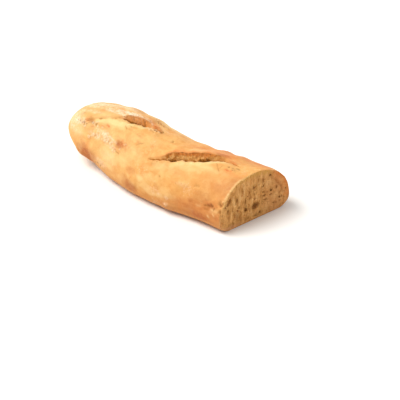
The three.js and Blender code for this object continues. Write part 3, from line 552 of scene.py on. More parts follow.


# The larger holes of the crumb on the cut: across, up, half sizes across and
# up, tilt in degrees, depth, and darkness, the painted shade inside the hole.
HOLES = [
    (-11.3, 13.8, 4.2, 3.4, 6, 3.8, 0.80), (-31.0, 11.4, 3.4, 4.6, 6, 1.8, 0.42), (-34.9, 12.8, 0.9, 3.0, 4, 1.6, 0.50),
    (-22.2, 13.9, 1.8, 1.8, -10, 2.4, 0.80), (-32.4, 27.4, 1.1, 3.2, 4, 2.6, 0.85), (-22.4, 22.4, 0.9, 4.2, 4, 2.2, 0.60),
    (-41.2, 30.0, 1.7, 4.6, -28, 2.2, 0.55), (-42.4, 20.6, 1.2, 1.7, 10, 1.9, 0.65), (-45.2, 25.6, 0.9, 1.3, 0, 1.6, 0.50),
    (-29.7, 19.2, 1.3, 1.1, 0, 1.6, 0.55), (-31.9, 16.9, 1.0, 1.3, 0, 1.5, 0.50), (-5.6, 4.9, 1.6, 1.2, 10, 1.9, 0.90),
    (-10.6, 3.4, 2.2, 1.0, 0, 1.6, 0.70), (-20.3, 4.6, 1.0, 0.8, 0, 1.0, 0.50), (-38.0, 5.2, 1.4, 0.7, 0, 1.0, 0.50),
    (5.4, 39.2, 1.6, 1.2, -20, 1.8, 0.70), (-2.6, 37.3, 0.9, 3.2, 0, 1.4, 0.35), (-8.4, 38.6, 0.8, 2.8, 0, 1.1, 0.22),
    (-2.4, 31.0, 1.0, 1.2, 0, 1.8, 0.75), (-13.0, 33.2, 1.1, 1.9, 10, 2.0, 0.70), (6.5, 23.2, 1.4, 1.4, 0, 1.9, 0.75),
    (6.3, 18.8, 1.6, 0.8, 10, 1.3, 0.40), (-2.2, 24.6, 1.3, 0.8, 0, 1.5, 0.60), (-1.6, 20.6, 2.5, 0.7, 4, 1.5, 0.60),
    (0.3, 15.8, 2.4, 0.7, 0, 1.3, 0.50), (-17.9, 30.4, 0.8, 1.8, 0, 1.1, 0.22), (-12.9, 26.6, 1.5, 0.8, 0, 1.1, 0.28),
    (-16.8, 24.6, 2.0, 0.9, 0, 1.2, 0.28), (-26.0, 34.0, 0.8, 2.3, 8, 1.2, 0.25), (-37.6, 21.0, 0.8, 2.4, 0, 1.2, 0.25),
    (13.0, 24.0, 1.1, 1.6, -20, 1.5, 0.45), (16.5, 12.0, 1.5, 1.1, 0, 1.5, 0.50), (10.0, 8.4, 1.2, 1.0, 0, 1.3, 0.50),
]


# Patches of painted shade on the cut: the crumb's soft hollows and a shadow cast across part of the cut.
SHADE_PATCHES = [(-30.5, 10.5, 4.2, 3.6, 0.75), (-43.2, 25.0, 2.2, 5.5, 0.65), (-23.0, 21.0, 1.6, 6.0, 0.45), (-12.0, 13.0, 5.5, 3.6, 0.45), (-39.5, 19.0, 1.2, 5.0, 0.35), (-34.0, 20.0, 1.0, 6.0, 0.35), (-4.0, 7.0, 5.0, 2.4, 0.5),
           (-16.0, 7.0, 4.0, 2.0, 0.35), (8.0, 31.0, 3.0, 4.0, 0.35), (-14.5, 27.0, 5.0, 3.0, 0.3)]      # across, up, half sizes, amount
BUMPS = [(-42.1, 17.0, 0.9, 1.0), (-12.4, 19.4, 1.3, 0.7), (-36.4, 24.0, 1.4, 0.5), (-25.6, 27.0, 1.2, 0.5), (3.0, 35.6, 1.6, 0.6),
         (-19.0, 18.6, 1.2, 0.5), (-43.6, 29.4, 0.9, 0.7), (10.4, 28.2, 1.5, 0.4)]      # across, up, radius, rise


def pores(poly, seed=5):
    """All holes of the crumb: the larger ones and a random scatter of smaller
    ones that crowd between them. Rows as in HOLES."""
    rng = np.random.default_rng(seed)
    out = [np.array(h, float) for h in HOLES]
    lo, hi = poly.min(0), poly.max(0)
    tries = rng.random((5200, 2)) * (hi - lo) + lo
    edge = outline_distance(poly, tries)
    ok = inside(poly, tries) & (edge > 2.2)
    for (x, z), e in zip(tries[ok], edge[ok]):
        if len(out) > 88:
            break
        r = 0.50 + 0.55 * rng.random() ** 2.5
        if e < 5:
            r = min(r, 0.80)                    # closer crumb under the crust
        long = 1 + 1.5 * rng.random() ** 1.3
        a, b = r, r * long
        tilt = rng.normal(0, 22) + 16 * (x + 12) / 30 * -1
        if all((x - h[0]) ** 2 + (z - h[1]) ** 2 > (0.80 * (max(a, b) + max(h[2], h[3]))) ** 2 for h in out):
            out.append(np.array([x, z, a, b, tilt, r * (0.6 + 0.7 * rng.random()), 0.05 + 0.24 * rng.random() ** 1.5]))
    return np.array(out)


# --- shape ends


# ====================================================================== mesh
M = 0.001
FACE_STEP = 0.42                                  # triangle size on the cut, mm
SKY_LIGHT, KEY_LIGHT, KEY_FROM = 0.47, 3.2, (-0.45, -0.36, 0.82)
FILL_LIGHT, FILL_FROM = 0.75, (0.15, 0.80, 0.55)
ORIGIN = np.array([SHIFT_X, SHIFT_Y, 0.0])


def world(p):
    return (np.asarray(p, float) - ORIGIN) * M


def on_cut(q, out=0.0):
    """(across, up) on the cut plane, to loaf coordinates; out is along its normal."""
    q = np.asarray(q, float)
    p = np.array([CUT_X, 0, 0]) + q[:, :1] * CUT_S + q[:, 1:2] * np.array([0, 0, 1.0])
    return p + np.reshape(out, (-1, 1)) * CUT_N


def set_attribute(mesh, name, values):
    a = mesh.attributes.new(name, "FLOAT", "POINT")
    a.data.foreach_set("value", np.asarray(values, np.float32))


def icosphere(level):
    g = (1 + 5 ** 0.5) / 2
    v = [(-1, g, 0), (1, g, 0), (-1, -g, 0), (1, -g, 0), (0, -1, g), (0, 1, g), (0, -1, -g), (0, 1, -g), (g, 0, -1), (g, 0, 1), (-g, 0, -1), (-g, 0, 1)]
    v = [np.array(p, float) / np.linalg.norm(p) for p in v]
    f = [(0, 11, 5), (0, 5, 1), (0, 1, 7), (0, 7, 10), (0, 10, 11), (1, 5, 9), (5, 11, 4), (11, 10, 2), (10, 7, 6), (7, 1, 8),
         (3, 9, 4), (3, 4, 2), (3, 2, 6), (3, 6, 8), (3, 8, 9), (4, 9, 5), (2, 4, 11), (6, 2, 10), (8, 6, 7), (9, 8, 1)]
    for _ in range(level):
        middle, g2 = {}, []
        def mid(a, b):
            k = (min(a, b), max(a, b))
            if k not in middle:
                m = v[a] + v[b]
                v.append(m / np.linalg.norm(m))
                middle[k] = len(v) - 1
            return middle[k]
        for a, b, c in f:
            ab, bc, ca = mid(a, b), mid(b, c), mid(c, a)
            g2 += [(a, ab, ca), (b, bc, ab), (c, ca, bc), (ab, bc, ca)]
        f = g2
    return np.array(v), np.array(f)


def make_mesh(name, verts, faces, loose=()):
    mesh = bpy.data.meshes.new(name)
    mesh.from_pydata([tuple(v) for v in verts], [], [tuple(int(i) for i in f) for f in faces])
    mesh.update()
    return mesh


def build_loaf():
    grid, phi, masks = crust_grid()
    n, m = grid.shape[:2]
    verts = [body(np.array([0.0]), np.array([90.0]))[0]] + list(grid.reshape(-1, 3))
    faces, slots = [], []
    at = lambda i, j: 1 + i * m + j % m
    for j in range(m):
        faces.append((0, at(0, j + 1), at(0, j)))
    for i in range(n - 1):
        for j in range(m):
            faces.append((at(i, j), at(i, j + 1), at(i + 1, j + 1), at(i + 1, j)))
    slots += [0] * len(faces)

    ring = grid[-1]
    flat = np.stack([(ring - [CUT_X, 0, 0]) @ CUT_S, ring[:, 2]], -1)
    rng = np.random.default_rng(77)
    step = FACE_STEP
    lo, hi = flat.min(0), flat.max(0)
    xs = np.arange(lo[0], hi[0], step)
    zs = np.arange(lo[1], hi[1], step * 0.866)
    X, Z = np.meshgrid(xs, zs)
    X = X + (np.arange(len(zs)) % 2 * 0.5 * step)[:, None]
    q = np.stack([X.ravel(), Z.ravel()], -1) + rng.uniform(-0.16, 0.16, (X.size, 2)) * step
    q = q[inside(flat, q)]
    q = q[outline_distance(flat, q) > 0.42 * step]
    pts = np.concatenate([flat, q])
    edges = [(j, (j + 1) % m) for j in range(m)]
    out_v, _, out_f, orig_v, _, _ = delaunay_2d_cdt([Vector(p) for p in pts], edges, [], 1, 1e-7)
    assert len(out_v) == len(pts), "the cut's outline crosses itself"
    back = np.array([o[0] for o in orig_v])
    edge = outline_distance(flat, q)
    relief = face_relief(q, edge)
    base = len(verts)
    verts += list(on_cut(q, relief))
    index = lambda k: at(n - 1, k) if k < m else base + k - m
    for f in out_f:
        faces.append(tuple(index(back[k]) for k in f))
    slots += [1] * (len(faces) - len(slots))
    verts = world(np.array(verts))
    mesh = make_mesh("baguette_loaf", verts, faces)
    mesh.polygons.foreach_set("material_index", slots)
    for name, values in masks.items():
        set_attribute(mesh, name, np.concatenate([[0], values.ravel(), np.zeros(len(q))]))
    set_attribute(mesh, "edge_mm", np.concatenate([np.zeros(base), edge]))
    for name, values in zip(("rim", "band", "seam", "rim_highlight", "shade", "heel"), cut_masks(flat, q, edge)):
        set_attribute(mesh, name, np.concatenate([np.zeros(base), values]))
    return mesh, flat


def cut_masks(flat, q, edge):
    """Where the cut shows crust, and where the crumb lies close under it."""
    p3 = np.stack([q[:, 0], q[:, 1], np.zeros(len(q))], -1)
    ragged = 1.1 * fbm(p3, 5.0, 3, 321)
    # the crust is thicker round the far shoulder, where the knife left it torn
    far = smooth(4, 13, q[:, 0]) * smooth(2, 14, q[:, 1])
    # the rim is darker along the bottom of the cut: the bottom crust, and painted contact shadow under it
    sole_tone_and_shade = 1 - smooth(1.5, 4, q[:, 1])
    d = edge + ragged * (0.3 + far)
    rim = np.maximum(far * (1 - 0.55 * smooth(1.0, 4.5, d)) * (1 - smooth(5.5, 8.5, d)), (0.30 + 0.6 * sole_tone_and_shade) * (1 - smooth(0.2, 1.0, d)))
    heel = (1 - smooth(2.2, 5.0, q[:, 1] + 1.5 * ragged)) * smooth(-22, -38, q[:, 0])
    side = (1 - smooth(1.0, 3.6, d)) * smooth(19, 6, q[:, 1]) * smooth(-32, -38, q[:, 0])
    heel = np.maximum(heel, 0.8 * side)
    seam = far * smooth(14, 20, q[:, 1]) * np.exp(-((d - 7.4) / 1.1) ** 2)
    # painted highlight along the crust's edge at the upper left of the cut
    left = smooth(-8, -22, q[:, 0]) * smooth(22, 29, q[:, 1])
    rim_highlight = left * (1 - smooth(0.9, 1.7, edge + 0.5 * ragged))
    top = smooth(20, 32, q[:, 1]) * smooth(-42, -26, q[:, 0]) * (1 - smooth(2, 16, q[:, 0]))
    band = top * (1 - smooth(2.0, 6.5, edge + ragged))
    # painted shade round the holes, in the crumb's soft hollows and where a shadow fell across the cut
    shade = np.zeros(len(q))
    for x, z, a, c, tilt, depth, dark in HOLES:
        t = math.radians(tilt)
        u, v = q[:, 0] - x, q[:, 1] - z
        u, v = u * math.cos(t) + v * math.sin(t), -u * math.sin(t) + v * math.cos(t)
        shade = np.maximum(shade, (0.35 + 0.65 * dark) * np.exp(-(np.maximum(np.hypot(u / (a + 0.2), v / (c + 0.2)) - 1, 0) * min(a, c) / 1.0) ** 2))
    for x, z, a, c, amount in SHADE_PATCHES:
        shade = np.maximum(shade, amount * np.exp(-((q[:, 0] - x) / a) ** 2 - ((q[:, 1] - z) / c) ** 2))
    return rim, np.maximum(band, 0), seam, rim_highlight, shade * smooth(0.4, 1.6, edge), heel


def face_relief(q, edge):
    p3 = np.stack([q[:, 0], q[:, 1], np.zeros(len(q))], -1)
    rise = 0.35 * fbm(p3, 11, 2, 301) + 0.16 * fbm(p3 * [1, 0.6, 1], 2.4, 3, 311)
    left = smooth(6, -12, q[:, 0])
    grooves = fbm(p3 * [1, 0.26, 1], 3.3, 2, 331)
    rise = rise - 1.0 * left * smooth(0.0, 0.42, grooves) - 0.30 * left * smooth(0.05, 0.45, fbm(p3 * [1, 0.24, 1], 1.9, 2, 333))
    rng = np.random.default_rng(9)
    lo, hi = q.min(0), q.max(0)
    count = 560
    centres = rng.random((count, 2)) * (hi - lo) + lo
    size = 0.50 + 0.85 * rng.random(count) ** 2
    ratio = 1 + 1.6 * rng.random(count)
    order = np.argsort(q[:, 0])
    sx = q[order, 0]
    pit = np.zeros(len(q))
    for (cx, cz), r, k in zip(centres, size, ratio):
        i0, i1 = np.searchsorted(sx, [cx - 2 * r, cx + 2 * r])
        idx = order[i0:i1]
        d2 = ((q[idx, 0] - cx) / r) ** 2 + ((q[idx, 1] - cz) / (r * k)) ** 2
        pit[idx] = np.maximum(pit[idx], 0.38 * r * np.clip(1 - d2, 0, 1))
    for cx, cz, r, high in BUMPS:
        rise = rise + high * np.exp(-((q[:, 0] - cx) ** 2 + (q[:, 1] - cz) ** 2) / (r * r))
    return (rise - pit) * smooth(0.3, 2.0, edge)


def cut_pores(ob, flat):
    """Takes the holes of the crumb out of the loaf, as true cavities."""
    balls = [icosphere(k) for k in (1, 2, 3)]
    todo = list(pores(flat))
    # batches in which no two holes touch
    batches = []
    for h in todo:
        reach = 1.35 * max(h[2], h[3])
        for b in batches:
            if all((h[0] - o[0]) ** 2 + (h[1] - o[1]) ** 2 > (reach + 1.35 * max(o[2], o[3])) ** 2 for o in b):
                b.append(h)
                break
        else:
            batches.append([h])
    rng = np.random.default_rng(31)
    for b in batches:
        V, F, D = [], [], []
        for x, z, a, c, tilt, depth, dark in b:
            sv, sf = balls[int(a * c > 0.9) + int(a * c > 5)]
            bump = 1 + 0.30 * fbm(sv * 1.7 + rng.random(3) * 50, 1.0, 2, 401)
            p = sv * bump[:, None]
            t = math.radians(tilt)
            u, w = p[:, 0] * a, p[:, 1] * c
            u, w = u * math.cos(t) - w * math.sin(t), u * math.sin(t) + w * math.cos(t)
            out = p[:, 2] * depth - 0.15 * depth
            F.append(sf + sum(len(k) for k in V))
            V.append(world(on_cut(np.stack([x + u, z + w], -1), out)))
            # painted shade inside the hole: darker deeper in and in its upper part
            D.append(dark * smooth(0.15, -0.6, p[:, 2]) * (0.62 + 0.38 * smooth(-0.9, 0.5, p[:, 1])))
        mesh = make_mesh("pores", np.concatenate(V), np.concatenate(F))
        set_attribute(mesh, "edge_mm", np.full(len(mesh.vertices), 9.0))
        set_attribute(mesh, "pore_shade", np.concatenate(D))
        tool = bpy.data.objects.new("pores", mesh)
        bpy.context.scene.collection.objects.link(tool)
        mod = ob.modifiers.new("pores", "BOOLEAN")
        mod.operation, mod.solver, mod.object, mod.material_mode = "DIFFERENCE", "MANIFOLD", tool, "INDEX"
        mesh.materials.append(ob.data.materials[0])
        mesh.materials.append(ob.data.materials[1])
        mesh.polygons.foreach_set("material_index", [1] * len(mesh.polygons))
        dg = bpy.context.evaluated_depsgraph_get()
        new = bpy.data.meshes.new_from_object(ob.evaluated_get(dg), preserve_all_data_layers=True, depsgraph=dg)
        ob.modifiers.clear()
        old = ob.data
        ob.data = new
        bpy.data.meshes.remove(old)
        bpy.data.objects.remove(tool)
        bpy.data.meshes.remove(mesh)
    return len(batches)


# ================================================================== materials
def srgb(r, g, b):
    """A display colour, 0 to 255, as linear RGBA."""
    c = [v / 255 for v in (r, g, b)]
    return tuple(v / 12.92 if v <= 0.04045 else ((v + 0.055) / 1.055) ** 2.4 for v in c) + (1.0,)


class Graph:
    """A small helper that wires up one material's nodes. Sizes are in mm."""

    def __init__(self, name):
        self.material = bpy.data.materials.new(name)
        self.material.use_nodes = True
        self.tree = self.material.node_tree
        self.tree.nodes.clear()
        self.out = self.new("ShaderNodeOutputMaterial")
        self.bsdf = self.new("ShaderNodeBsdfPrincipled")
        self.link(self.bsdf.outputs["BSDF"], self.out.inputs["Surface"])
        self.place = self.new("ShaderNodeTexCoord").outputs["Object"]

    def new(self, kind):
        return self.tree.nodes.new(kind)

    def link(self, a, b):
        self.tree.links.new(a, b)

    def put(self, socket, value):
        if isinstance(value, bpy.types.NodeSocket):
            self.link(value, socket)
        else:
            socket.default_value = value

    def attribute(self, name):
        n = self.new("ShaderNodeAttribute")
        n.attribute_type, n.attribute_name = "GEOMETRY", name
        return n.outputs["Fac"]

    def stretched(self, x, y, z, shift=0.0, turn=0.0):
        n = self.new("ShaderNodeMapping")
        n.inputs["Scale"].default_value = (x, y, z)
        n.inputs["Location"].default_value = (shift, shift * 0.7, shift * 0.3)
        n.inputs["Rotation"].default_value = (0, 0, turn)
        self.link(self.place, n.inputs["Vector"])
        return n.outputs["Vector"]

    def noise(self, size, detail=3.0, rough=0.5, where=None, warp=0.0):
        n = self.new("ShaderNodeTexNoise")
        n.inputs["Scale"].default_value = 1000.0 / size
        n.inputs["Detail"].default_value = detail
        n.inputs["Roughness"].default_value = rough
        n.inputs["Distortion"].default_value = warp
        self.link(where or self.place, n.inputs["Vector"])
        return n.outputs["Fac"]

    def cells(self, size, feature="F1", where=None, random=1.0, output="Distance"):
        n = self.new("ShaderNodeTexVoronoi")
        n.feature = feature
        n.inputs["Scale"].default_value = 1000.0 / size
        n.inputs["Randomness"].default_value = random
        self.link(where or self.place, n.inputs["Vector"])
        return n.outputs[output]

    def math(self, op, a, b=0.0, c=0.0, clamp=False):
        n = self.new("ShaderNodeMath")
        n.operation, n.use_clamp = op, clamp
        for socket, v in zip(n.inputs, (a, b, c)):
            self.put(socket, v)
        return n.outputs[0]

    def add(self, *terms):
        total = terms[0]
        for t in terms[1:]:
            total = self.math("ADD", total, t)
        return total

    def times(self, a, b):
        return self.math("MULTIPLY", a, b)

    def ease(self, x, a, b, lo=0.0, hi=1.0):
        n = self.new("ShaderNodeMapRange")
        n.interpolation_type = "SMOOTHSTEP"
        for name, v in (("Value", x), ("From Min", a), ("From Max", b), ("To Min", lo), ("To Max", hi)):
            self.put(n.inputs[name], v)
        return n.outputs["Result"]

    def mix(self, fac, a, b, blend="MIX"):
        n = self.new("ShaderNodeMix")
        n.data_type, n.blend_type = "RGBA", blend
        ports = [s for s in n.inputs if s.type == "RGBA"]
        self.put(n.inputs[0], fac)
        self.put(ports[0], a)
        self.put(ports[1], b)
        return [s for s in n.outputs if s.type == "RGBA"][0]

    def bump(self, height, strength, distance, normal=None):
        n = self.new("ShaderNodeBump")
        n.inputs["Strength"].default_value = strength
        n.inputs["Distance"].default_value = distance * M
        self.link(height, n.inputs["Height"])
        if normal is not None:
            self.link(normal, n.inputs["Normal"])
        return n.outputs["Normal"]

    def height_of(self):
        """Height over the table, in mm."""
        n = self.new("ShaderNodeSeparateXYZ")
        self.link(self.place, n.inputs[0])
        return self.times(n.outputs["Z"], 1000.0)


def crust_material():
    g = Graph("baguette_crust")
    pale, crack, wall, lip, ear = (g.attribute(n) for n in ("pale", "crack", "wall", "lip", "ear"))
    toast, pale_and_highlight, flour, speck, dark, red, warm = (g.attribute(n) for n in ("toast", "pale_and_highlight", "flour", "speck", "dark", "red", "warm"))
    up = g.height_of()

    broad = g.noise(34, 3, 0.5)
    patch = g.noise(11, 4, 0.55, warp=0.4)
    small = g.noise(3.2, 4, 0.6)
    grain = g.noise(0.9, 4, 0.65)

    side = g.new("ShaderNodeSeparateXYZ")
    g.link(g.place, side.inputs[0])
    lively = g.ease(side.outputs["X"], 0.0, 0.045, 1.0, 0.62)      # calmer towards the cut
    gold = g.mix(g.ease(broad, 0.38, 0.62), srgb(*GOLD_A), srgb(*GOLD_B))
    gold = g.mix(g.times(lively, g.ease(patch, 0.50, 0.66, 0, 0.60)), gold, srgb(*GOLD_C))
    gold = g.mix(g.times(lively, g.ease(patch, 0.48, 0.34, 0, 0.65)), gold, srgb(*GOLD_D))
    blotch = g.noise(5.0, 3, 0.5, g.stretched(1, 1, 1, 0.11), warp=0.5)
    gold = g.mix(g.times(lively, g.ease(blotch, 0.54, 0.68, 0, 0.45)), gold, srgb(*GOLD_C))
    gold = g.mix(g.times(lively, g.ease(blotch, 0.46, 0.34, 0, 0.45)), gold, srgb(*GOLD_D))

    # a little paler towards the tip, warmer in places
    gold = g.mix(g.ease(side.outputs["X"], 0.02, -0.05, 0.0, 0.16), gold, srgb(*PALE_TONE_AND_HIGHLIGHT))
    gold = g.mix(g.math("MULTIPLY", warm, g.ease(patch, 0.34, 0.60, 0.6, 1.0), clamp=True), gold, srgb(*WARM_TONE))

    # browner towards the foot: partly crust baked darker where it met the baking stone, partly painted shade of the
    # lower side
    foot_tone_and_shade = g.ease(g.add(up, g.times(patch, 14.0)), 27.0, 6.0)
    colour = g.mix(g.times(foot_tone_and_shade, 0.70), gold, srgb(*FOOT_TONE_AND_SHADE))
    # darker along the bottom edge: the baked underside, and painted contact shadow where the loaf meets the ground
    sole_tone_and_shade = g.ease(g.add(up, g.times(small, 2.0)), 3.4, 1.4)
    colour = g.mix(g.times(sole_tone_and_shade, 0.75), colour, srgb(*SOLE_TONE_AND_SHADE))

    brown = g.math("MULTIPLY", toast, g.ease(small, 0.30, 0.62, 0.75, 1.1), clamp=True)
    colour = g.mix(g.times(brown, 0.85), colour, srgb(*BROWN))
    # paler crust and painted highlights
    colour = g.mix(g.times(pale_and_highlight, 0.80), colour, srgb(*PALE_TONE_AND_HIGHLIGHT))

    # the opened sides of the slashes
    open_ = g.math("MULTIPLY", pale, g.ease(patch, 0.25, 0.60, 1.05, 0.75), clamp=True)
    colour = g.mix(open_, colour, g.mix(g.ease(small, 0.40, 0.66), srgb(*PALE_A), srgb(*PALE_B)))
    mottle = g.noise(1.7, 3, 0.6, g.stretched(1, 1, 1, 0.005))
    torn = g.mix(g.ease(mottle, 0.36, 0.62), srgb(*WALL_A), srgb(*WALL_B))
    torn = g.mix(g.times(warm, 0.8), torn, g.mix(g.ease(mottle, 0.40, 0.58), srgb(*WARM_WALL_DARK), srgb(*WARM_WALL)))
    colour = g.mix(wall, colour, torn)
    fibres = g.noise(2.1, 3, 0.6, g.stretched(1, 1, 0.28, 0.017))
    colour = g.mix(g.math("MULTIPLY", lip, g.ease(mottle, 0.30, 0.60, 0.75, 1.0), clamp=True), colour, g.mix(g.ease(fibres, 0.44, 0.62), srgb(*LIP), srgb(*LIP_DARK)))
    # painted shade in the slashes' cracks
    deep = g.math("MULTIPLY", crack, g.ease(mottle, 0.36, 0.58, 0.70, 1.05), clamp=True)
    colour = g.mix(g.ease(deep, 0.05, 0.50), colour, srgb(*CRACK_EDGE_SHADE))
    colour = g.mix(g.ease(deep, 0.38, 0.90), colour, srgb(*CRACK_SHADE))
    colour = g.mix(g.math("MULTIPLY", red, g.ease(small, 0.34, 0.60, 1.0, 0.6), clamp=True), colour, srgb(*RED))

    # flour left from the proving cloth, in clots and dust
    clots = g.cells(2.1, "F1", g.stretched(1, 1, 1, 0.013))
    bare = g.math("SUBTRACT", 1.0, g.math("MAXIMUM", g.math("MAXIMUM", wall, lip), crack), clamp=True)
    dusty = g.math("MULTIPLY", g.times(g.add(flour, g.times(ear, 0.32)), bare), g.ease(g.add(g.times(clots, 0.45), g.times(g.noise(1.3, 3, 0.65), 0.8)), 0.84, 0.46, 0.26, 0.98), clamp=True)
    colour = g.mix(g.times(dusty, 0.88), colour, srgb(*FLOUR))
    dust = g.times(bare, g.ease(g.times(g.noise(1.5, 3, 0.7, g.stretched(1, 1, 1, 0.031)), g.noise(19, 2, 0.5, g.stretched(1, 1, 1, 0.07))), 0.34, 0.46, 0, 0.18))
    colour = g.mix(dust, colour, srgb(*FLOUR))

    # tiny burnt flecks and open pits, the pits partly painted shade; darker creases, partly painted shade
    flecks = g.add(g.cells(3.1, "F1", g.stretched(1, 1, 1, 0.047)), g.times(g.noise(1.1, 2, 0.5), 0.22), -0.11)
    rare = g.noise(5.0, 2, 0.5, g.stretched(1, 1, 1, 0.09))
    where = g.math("ADD", g.times(speck, 0.34), g.times(rare, 0.20))
    fleck = g.math("MULTIPLY", g.ease(g.math("SUBTRACT", where, flecks), -0.03, 0.12), g.ease(speck, 0.15, 0.6, 0.35, 1.0), clamp=True)
    colour = g.mix(g.times(fleck, 0.62), colour, srgb(*FLECK))
    colour = g.mix(g.ease(grain, 0.30, 0.70, 0.10, 0.0), colour, srgb(*BROWN))
    colour = g.mix(g.math("MULTIPLY", dark, g.ease(grain, 0.30, 0.65, 1.0, 0.75), clamp=True), colour, srgb(*CREASE))

    g.link(colour, g.bsdf.inputs["Base Color"])
    g.link(g.ease(g.add(patch, g.times(dusty, 0.5), g.times(open_, 0.25)), 0.30, 0.95, 0.50, 0.86), g.bsdf.inputs["Roughness"])
    g.bsdf.inputs["Specular IOR Level"].default_value = 0.24

    # fine skin: leathery wrinkles, pimples and torn edges
    skin = g.noise(2.2, 5, 0.62, warp=0.6)
    fine = g.noise(0.65, 3, 0.6)
    rough_zone = g.math("ADD", 0.60, g.add(g.times(g.math("MAXIMUM", flour, speck), 0.9), g.times(wall, g.ease(warm, 0.2, 0.9, 1.8, 0.9)), g.times(pale, 0.3)))
    n1 = g.bump(g.times(skin, rough_zone), 1.0, 0.75)
    n2 = g.bump(g.times(fine, rough_zone), 1.0, 0.20, n1)
    n3 = g.bump(g.math("MULTIPLY", fleck, -1.0), 0.9, 0.30, n2)
    g.link(n3, g.bsdf.inputs["Normal"])
    return g.material


def crumb_material():
    g = Graph("baguette_crumb")
    edge, pore_shade, rim, band, seam, rim_highlight, shade, heel = (g.attribute(n) for n in ("edge_mm", "pore_shade", "rim", "band", "seam", "rim_highlight", "shade", "heel"))
    patch = g.noise(9, 3, 0.5)
    small = g.noise(1.9, 4, 0.6, g.stretched(1, 1, 0.55))
    grain = g.noise(0.7, 3, 0.6)
    streaks = g.noise(3.0, 3, 0.50, g.stretched(1, 1, 0.30, 0.02), warp=0.3)
    walls = g.cells(1.25, "DISTANCE_TO_EDGE", g.stretched(1, 1, 0.62))
    big = g.cells(2.6, "DISTANCE_TO_EDGE", g.stretched(1, 1, 0.5, 0.01))

    colour = g.mix(g.ease(patch, 0.35, 0.65), srgb(*CRUMB_A), srgb(*CRUMB_B))
    colour = g.mix(g.ease(streaks, 0.50, 0.64, 0, 0.75), colour, srgb(*CRUMB_LIGHT))
    colour = g.mix(g.ease(streaks, 0.47, 0.36, 0, 0.60), colour, srgb(*CRUMB_DARK))
    # painted shade in the crumb's small cells, lighter on their walls
    cell_shade = g.math("MULTIPLY", g.ease(walls, 0.08, 0.34), g.ease(small, 0.40, 0.62), clamp=True)
    colour = g.mix(g.times(cell_shade, 0.20), colour, srgb(*CRUMB_DARK))
    colour = g.mix(g.math("MULTIPLY", shade, g.ease(small, 0.34, 0.60, 0.45, 0.85), clamp=True), colour, srgb(*SHADE))
    side = g.new("ShaderNodeSeparateXYZ")
    g.link(g.place, side.inputs[0])
    ruddy = g.math("MULTIPLY", g.ease(side.outputs["Y"], 0.004, 0.026), g.ease(g.noise(13, 2, 0.5), 0.30, 0.62, 0.5, 1.0))
    colour = g.mix(g.times(ruddy, 0.55), colour, srgb(*CRUMB_RED))
    colour = g.mix(g.times(band, 0.75), colour, srgb(*BAND))
    # painted shade inside the pores
    colour = g.mix(g.math("MULTIPLY", pore_shade, g.ease(grain, 0.25, 0.7, 0.9, 0.7), clamp=True), colour, srgb(*PORE_SHADE))
    # the crust seen edge on
    streak = g.noise(2.4, 3, 0.6, g.stretched(1, 1, 1, 0.04), warp=0.8)
    colour = g.mix(rim, colour, g.mix(g.ease(streak, 0.4, 0.6), srgb(*RIM_A), srgb(*RIM_B)))
    colour = g.mix(g.math("MULTIPLY", heel, g.ease(small, 0.30, 0.60, 0.7, 0.95), clamp=True), colour, srgb(*HEEL))
    colour = g.mix(g.math("MULTIPLY", seam, g.ease(streak, 0.35, 0.6, 0.5, 0.9), clamp=True), colour, srgb(*SEAM))
    # painted highlight on the crust's edge
    colour = g.mix(g.math("MULTIPLY", rim_highlight, g.ease(small, 0.35, 0.6, 0.6, 1.0), clamp=True), colour, srgb(*RIM_HIGHLIGHT))
    g.link(colour, g.bsdf.inputs["Base Color"])
    g.link(g.ease(grain, 0.3, 0.7, 0.78, 0.95), g.bsdf.inputs["Roughness"])
    g.bsdf.inputs["Specular IOR Level"].default_value = 0.22

    solid = g.math("SUBTRACT", 1.0, g.math("MULTIPLY", rim, 0.8))
    height = g.add(g.times(g.ease(walls, 0.0, 0.30, 1.0, 0.0), 0.7), g.times(small, 0.9), g.times(g.ease(big, 0.0, 0.35, 1.0, 0.0), 0.5))
    n1 = g.bump(g.times(height, solid), 1.0, 0.45)
    n2 = g.bump(grain, 0.7, 0.12, n1)
    g.link(n2, g.bsdf.inputs["Normal"])
    return g.material


GOLD_A, GOLD_B, GOLD_C, GOLD_D = (224, 167, 96), (219, 159, 87), (212, 140, 70), (232, 184, 112)
# the foot and sole tones also hold painted shade of the lower side and the bottom edge; the light tone also serves
# painted highlights
FOOT_TONE_AND_SHADE, SOLE_TONE_AND_SHADE, BROWN, PALE_TONE_AND_HIGHLIGHT = (176, 98, 36), (170, 108, 54), (168, 88, 38), (238, 202, 138)
PALE_A, PALE_B = (242, 224, 164), (238, 214, 146)
WALL_A, WALL_B, LIP, LIP_DARK = (248, 198, 124), (222, 160, 84), (232, 144, 64), (194, 100, 28)
# the crack tones are painted shade in the cracks; the crease tone is partly painted shade in creases and pits
CRACK_SHADE, CRACK_EDGE_SHADE, CREASE, RED = (140, 88, 12), (190, 120, 46), (140, 88, 24), (216, 116, 58)
FLOUR, FLECK, WARM_TONE, WARM_WALL = (252, 236, 206), (150, 92, 40), (222, 132, 64), (250, 172, 90)
WARM_WALL_DARK = (212, 130, 56)
# the crumb tones are warmer than the crumb's own cream: they carry painted warm bounce light
CRUMB_A, CRUMB_B, CRUMB_LIGHT, CRUMB_DARK = (226, 165, 96), (217, 155, 87), (238, 184, 118), (186, 124, 62)
# the pore tone is painted shade inside the holes
BAND, PORE_SHADE, RIM_A, RIM_B = (210, 154, 74), (140, 88, 24), (200, 112, 48), (214, 140, 74)
SHADE, HEEL = (174, 118, 50), (222, 158, 104)
# the glow tone is a painted highlight on the crust's edge at the cut
SEAM, RIM_HIGHLIGHT, CRUMB_RED = (166, 98, 44), (252, 206, 130), (204, 136, 80)


